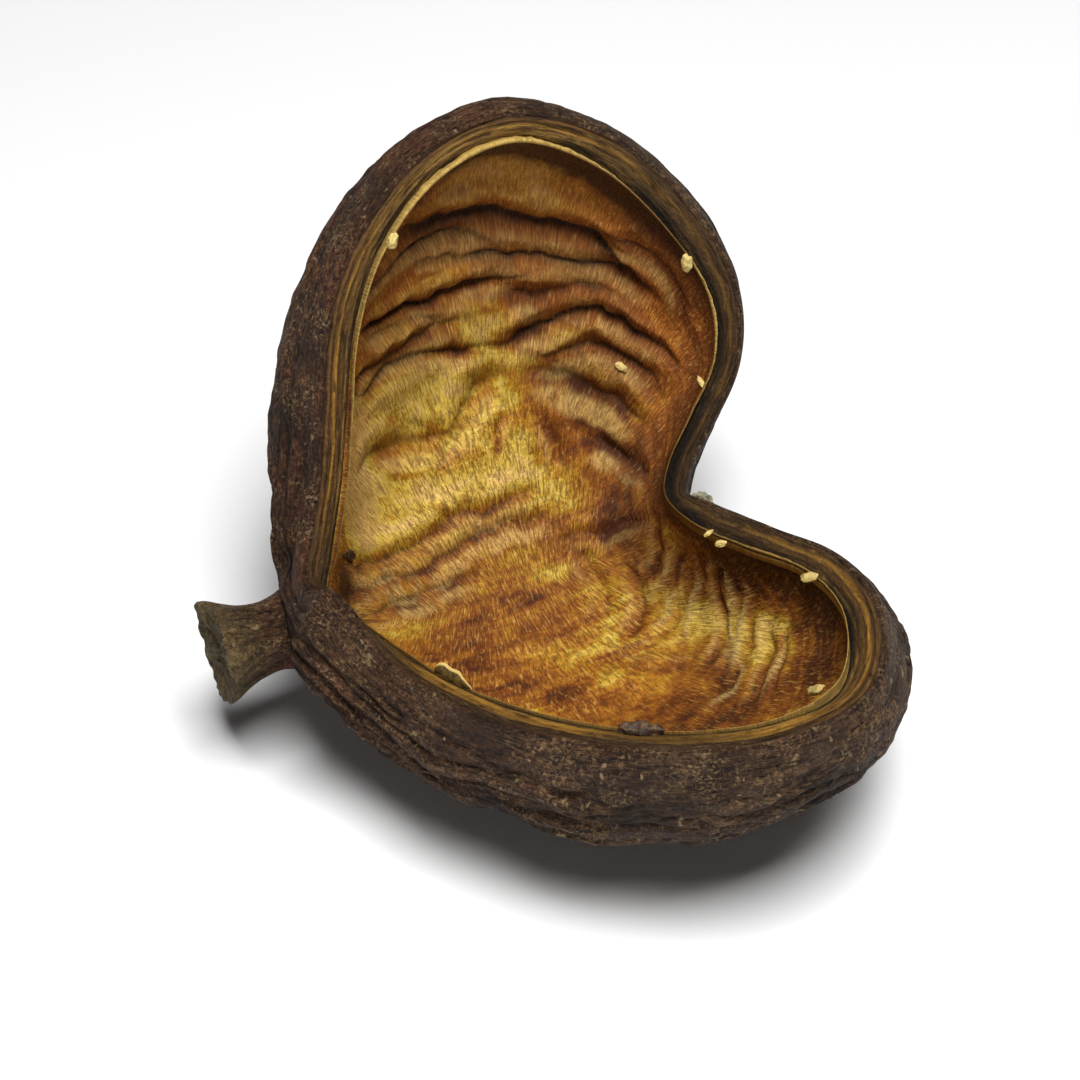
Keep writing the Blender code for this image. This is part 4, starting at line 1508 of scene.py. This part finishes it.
def make_stalk(sizes, finish):
    """The stalk, with long ridges, a flared root and a torn end."""
    sections = smooth_curve(np.array(STALK_SECTIONS), False, 9)
    end = len(sections) - 1
    turn = np.linspace(0, 2 * math.pi, STALK_SEGMENTS, endpoint=False)
    ribs = sum(height * np.cos(count * turn + start) for count, height, start in STALK_RIBS)
    rings = []
    for i, (along, level, radius, ridge) in enumerate(sections):
        twist = turn + 0.012 * along
        line = np.stack([np.cos(twist) * 9, np.sin(twist) * 9, 0 * twist + along / 3.5], axis=-1)
        size = radius * (1 + ridge * ribs)
        size = size + sizes.wrinkle * (lumps(line, 1.6, 41) * 0.55 + lumps(line, 3.4, 42) * 0.6)
        ragged = 0.30 * ribs + lumps(line, 4.5, 43) * 0.45 + lumps(line, 1.7, 46) * 0.60
        place = along - step(i / end, 0.90, 1.0) * ragged
        ring = [place, STALK_SIDE + size * np.cos(turn), level + size * np.sin(turn)]
        rings.append(np.stack(ring, axis=-1))
    rings = np.stack(rings + torn_end(rings[-1]))
    along = rings[..., 0]
    round_it = np.broadcast_to(turn * 7.0, along.shape)
    to_end = step(np.arange(len(rings)) / end, 0.50, 1.05)[:, None]
    at_end = np.broadcast_to(to_end, along.shape)
    # Painted shade in the valleys between the stalk's ridges
    valley = np.clip(-(ribs / 1.6) - 0.3, 0, 1)
    marks = {
        "lay": np.stack([along, round_it, 0 * along], axis=-1),
        "band": np.full(along.shape, 1.25),
        "pit": np.broadcast_to(valley, along.shape) * 0.8,
        "tone": 0.30 + 0.60 * at_end,
        "olive": np.clip(at_end * (1 - 0.8 * valley), 0, 1),
    }
    piece("stalk", rings, tube(rings), marks, finish)


def grain_points(size, seed, bend):
    """A small, uneven, rounded grain: its points and its faces."""
    mesh = bmesh.new()
    bmesh.ops.create_icosphere(mesh, subdivisions=4, radius=1.0)
    points = np.array([v.co for v in mesh.verts])
    faces = [tuple(v.index for v in face.verts) for face in mesh.faces]
    mesh.free()
    swell = 1 + 0.28 * lumps(points, 0.9, seed) + 0.12 * lumps(points, 0.4, seed + 1)
    points = points * swell[:, None]
    points[:, 2] *= 1 - 0.25 * points[:, 0]
    points = points * np.array(size)
    points[:, 2] += bend * points[:, 0] ** 2
    return points, faces


def turned(points, along, up, turn):
    """Points laid with their length along a direction and their height along another."""
    up = up / np.linalg.norm(up)
    side = np.cross(up, along)
    side /= np.linalg.norm(side)
    ahead = np.cross(side, up)
    c, s = math.cos(math.radians(turn)), math.sin(math.radians(turn))
    basis = np.stack([c * ahead + s * side, c * side - s * ahead, up])
    return points @ basis


def make_stubs(finish):
    """The pale stubs that the seeds hung from, along the lip and one loose on the lining."""
    rim = Rim(SEGMENTS * 2)
    for number, (angle, down, inward, length, width, turn) in enumerate(STUBS):
        i = rim.nearest(angle)
        points, faces = grain_points((length / 2, width / 2, 0.38 * width), 60 + number, 0.06)
        place = rim.edge[i] - rim.up[i] * down - rim.out[i] * inward
        points = turned(points, rim.ahead(i), rim.up[i] - 0.8 * rim.out[i], turn) + place
        piece(f"stub_{number}", points, faces, {}, finish)
    angle, share, length, width = LOOSE_STUB
    i = rim.nearest(angle)
    wall = inner_rings(rim, np.array((share - 0.02, share, share + 0.02)))
    up = -normals(wall)[1, i]
    points, faces = grain_points((length / 2, width / 2, 0.38 * width), 77, 0.05)
    points = turned(points, rim.ahead(i), up, 25) + wall[1, i] + up * 0.9
    piece("stub_loose", points, faces, {}, finish)


def make_flake(finish):
    """The thin flake that stands on the front of the lip."""
    rim = Rim(SEGMENTS * 4)
    middle, half, tall, lean = FLAKE
    around = np.linspace(0, 2 * math.pi, 20, endpoint=False)
    rings = []
    for place in np.linspace(-1, 1, 41):
        i = rim.nearest(middle + half * place)
        arch = math.sqrt(max(1 - place**4, 0.0)) * (0.72 - 0.28 * place)
        high = tall * arch * (1 + 0.10 * math.sin(7 * place)) + 0.2
        curve = lean * (1 - place**2)
        rise = (high + 0.6) * (0.5 + 0.5 * np.sin(around)) - 0.6
        slant = 0.16 * np.cos(around) - curve * np.clip(rise / tall, 0, 1) ** 1.5 + 0.1
        rings.append(rim.edge[i] + np.outer(slant, rim.out[i]) + np.outer(rise, rim.up[i]))
    rings = np.stack(rings)[::-1]
    edge = np.broadcast_to(step(np.sin(around), 0.55, 0.9), rings.shape[:2])
    piece("flake", rings, tube(rings), {"edge": edge}, finish)


def make_crusts(finishes):
    """Dark crusts, one on the front of the rim and one on the lining by the stalk."""
    rim = Rim(SEGMENTS * 2)
    for number, (angle, share, length, width, height) in enumerate(CRUSTS):
        i = rim.nearest(angle)
        wall = inner_rings(rim, np.array((share - 0.04, share - 0.02, share)))
        on_rim = share == 1
        up = rim.up[i] - 0.4 * rim.out[i] if on_rim else -normals(wall)[1, i]
        points, faces = grain_points((length / 2, width / 2, height / 2), 90 + number, 0.0)
        points = points * (1 + 0.30 * lumps(points, 1.3, 92))[:, None]
        points = turned(points, rim.ahead(i), up, 0 if on_rim else 75) + wall[2, i]
        piece(f"crust_{number}", points, faces, {}, finishes[number])


def make_beak(finish):
    """The dried beak behind the notch."""
    points, faces = grain_points(BEAK_SIZE, 81, 0.0)
    points = points + lumps(points, 0.8, 83)[:, None] * 0.45 * points / 2.0
    points = turned(points, np.array(BEAK_ALONG), np.array(BEAK_UP), 0) + np.array(BEAK_PLACE)
    piece("beak", points, faces, {}, finish)


class PodOperator:
    """What the pod's operators share."""

    bl_options = {"REGISTER", "UNDO"}

    def shared(self, context):
        """The pod's sizes and colours."""
        return context.scene.pod_sizes, context.scene.pod_colours


class POD_OT_husk(PodOperator, bpy.types.Operator):
    """Builds the rind, the rim and the stalk"""

    bl_idname = "pod.husk"
    bl_label = "Rind, rim and stalk"

    def execute(self, context):
        sizes, colours = self.shared(context)
        finish = rind_finish(colours)
        make_husk(sizes, finish)
        make_stalk(sizes, finish)
        return {"FINISHED"}


class POD_OT_lining(PodOperator, bpy.types.Operator):
    """Builds the folded lining and its lip"""

    bl_idname = "pod.lining"
    bl_label = "Lining"

    def execute(self, context):
        sizes, colours = self.shared(context)
        make_lining(sizes, lining_finish(colours, sizes))
        return {"FINISHED"}


class POD_OT_stubs(PodOperator, bpy.types.Operator):
    """Builds the seed stubs, the flake on the lip and the dark crusts"""

    bl_idname = "pod.stubs"
    bl_label = "Stubs, flake and crusts"

    def execute(self, context):
        sizes, colours = self.shared(context)
        make_stubs(stub_finish(colours))
        make_flake(flake_finish())
        finishes = (
            crust_finish("rim_crust", paint(50, 34, 22), paint(100, 74, 48)),
            crust_finish("lining_crust", paint(28, 19, 12), paint(84, 62, 40)),
        )
        make_crusts(finishes)
        return {"FINISHED"}


class POD_OT_beak(PodOperator, bpy.types.Operator):
    """Builds the dried beak at the notch"""

    bl_idname = "pod.beak"
    bl_label = "Beak"

    def execute(self, context):
        make_beak(beak_finish())
        return {"FINISHED"}


class POD_OT_stage(bpy.types.Operator):
    """Builds the plain floor, the soft light and the camera"""

    bl_idname = "pod.stage"
    bl_label = "Stage"
    bl_options = {"REGISTER", "UNDO"}

    def execute(self, context):
        settings = context.scene.pod_stage
        self.add_floor(context, settings)
        self.add_lights(context, settings)
        self.add_camera(context)
        context.scene.view_settings.view_transform = "Standard"
        return {"FINISHED"}

    def add_floor(self, context, settings):
        """A flat pale floor."""
        half = settings.floor_size / 2
        data = bpy.data.meshes.new("floor")
        corners = [(-half, -half, 0), (half, -half, 0), (half, half, 0), (-half, half, 0)]
        data.from_pydata(corners, [], [(0, 1, 2, 3)])
        finish = Finish("floor", 0.9, 0.1)
        data.materials.append(finish.wear(tuple(settings.floor)))
        floor = bpy.data.objects.new("floor", data)
        context.scene.collection.objects.link(floor)

    def add_light(self, context, name, power, size, place):
        """A soft square light that faces the pod."""
        data = bpy.data.lights.new(name, "AREA")
        data.energy = power
        data.size = size
        light = bpy.data.objects.new(name, data)
        light.location = place
        toward = Vector(AIM) * MM - light.location
        light.rotation_euler = toward.to_track_quat("-Z", "Y").to_euler()
        context.scene.collection.objects.link(light)

    def add_lights(self, context, settings):
        """A large light overhead, a weaker one in front, and a white room."""
        self.add_light(context, "overhead", settings.power, OVERHEAD_SIDE, OVERHEAD_PLACE)
        self.add_light(context, "front", settings.power * FRONT_SHARE, FRONT_SIDE, FRONT_PLACE)
        room = bpy.data.worlds.new("room")
        room.use_nodes = True
        context.scene.world = room
        light = room.node_tree.nodes["Background"]
        light.inputs["Color"].default_value = (1.0, 1.0, 1.0, 1.0)
        light.inputs["Strength"].default_value = ROOM_STRENGTH

    def add_camera(self, context):
        """The camera, at the photograph's angle."""
        level = math.radians(EYE_LEVEL)
        toward = Vector((0.0, math.cos(level), -math.sin(level)))
        data = bpy.data.cameras.new("camera")
        data.lens = LENS
        data.sensor_width = SENSOR_WIDTH
        data.clip_start = 0.01
        camera = bpy.data.objects.new("camera", data)
        camera.location = Vector(AIM) * MM - toward * EYE_DISTANCE * MM
        camera.rotation_euler = toward.to_track_quat("-Z", "Y").to_euler()
        context.scene.collection.objects.link(camera)
        context.scene.camera = camera


class POD_PT_panel(bpy.types.Panel):
    """The pod's settings and operators"""

    bl_idname = "POD_PT_panel"
    bl_label = "Pod"
    bl_space_type = "VIEW_3D"
    bl_region_type = "UI"
    bl_category = "Pod"

    def draw(self, context):
        layout = self.layout
        for group in (context.scene.pod_sizes, context.scene.pod_colours, context.scene.pod_stage):
            for name in group.__annotations__:
                layout.prop(group, name)
        for operator in OPERATORS:
            layout.operator(operator.bl_idname)


OPERATORS = (POD_OT_husk, POD_OT_lining, POD_OT_stubs, POD_OT_beak, POD_OT_stage)
GROUPS = (("pod_sizes", PodSizes), ("pod_colours", PodColours), ("pod_stage", PodStage))


def register():
    for name, group in GROUPS:
        bpy.utils.register_class(group)
        setattr(bpy.types.Scene, name, bpy.props.PointerProperty(type=group))
    for operator in OPERATORS:
        bpy.utils.register_class(operator)
    bpy.utils.register_class(POD_PT_panel)


def unregister():
    bpy.utils.unregister_class(POD_PT_panel)
    for operator in reversed(OPERATORS):
        bpy.utils.unregister_class(operator)
    for name, group in reversed(GROUPS):
        delattr(bpy.types.Scene, name)
        bpy.utils.unregister_class(group)


def main():
    register()
    bpy.ops.pod.husk()
    bpy.ops.pod.lining()
    bpy.ops.pod.stubs()
    bpy.ops.pod.beak()
    bpy.ops.pod.stage()


if __name__ == "__main__":
    main()
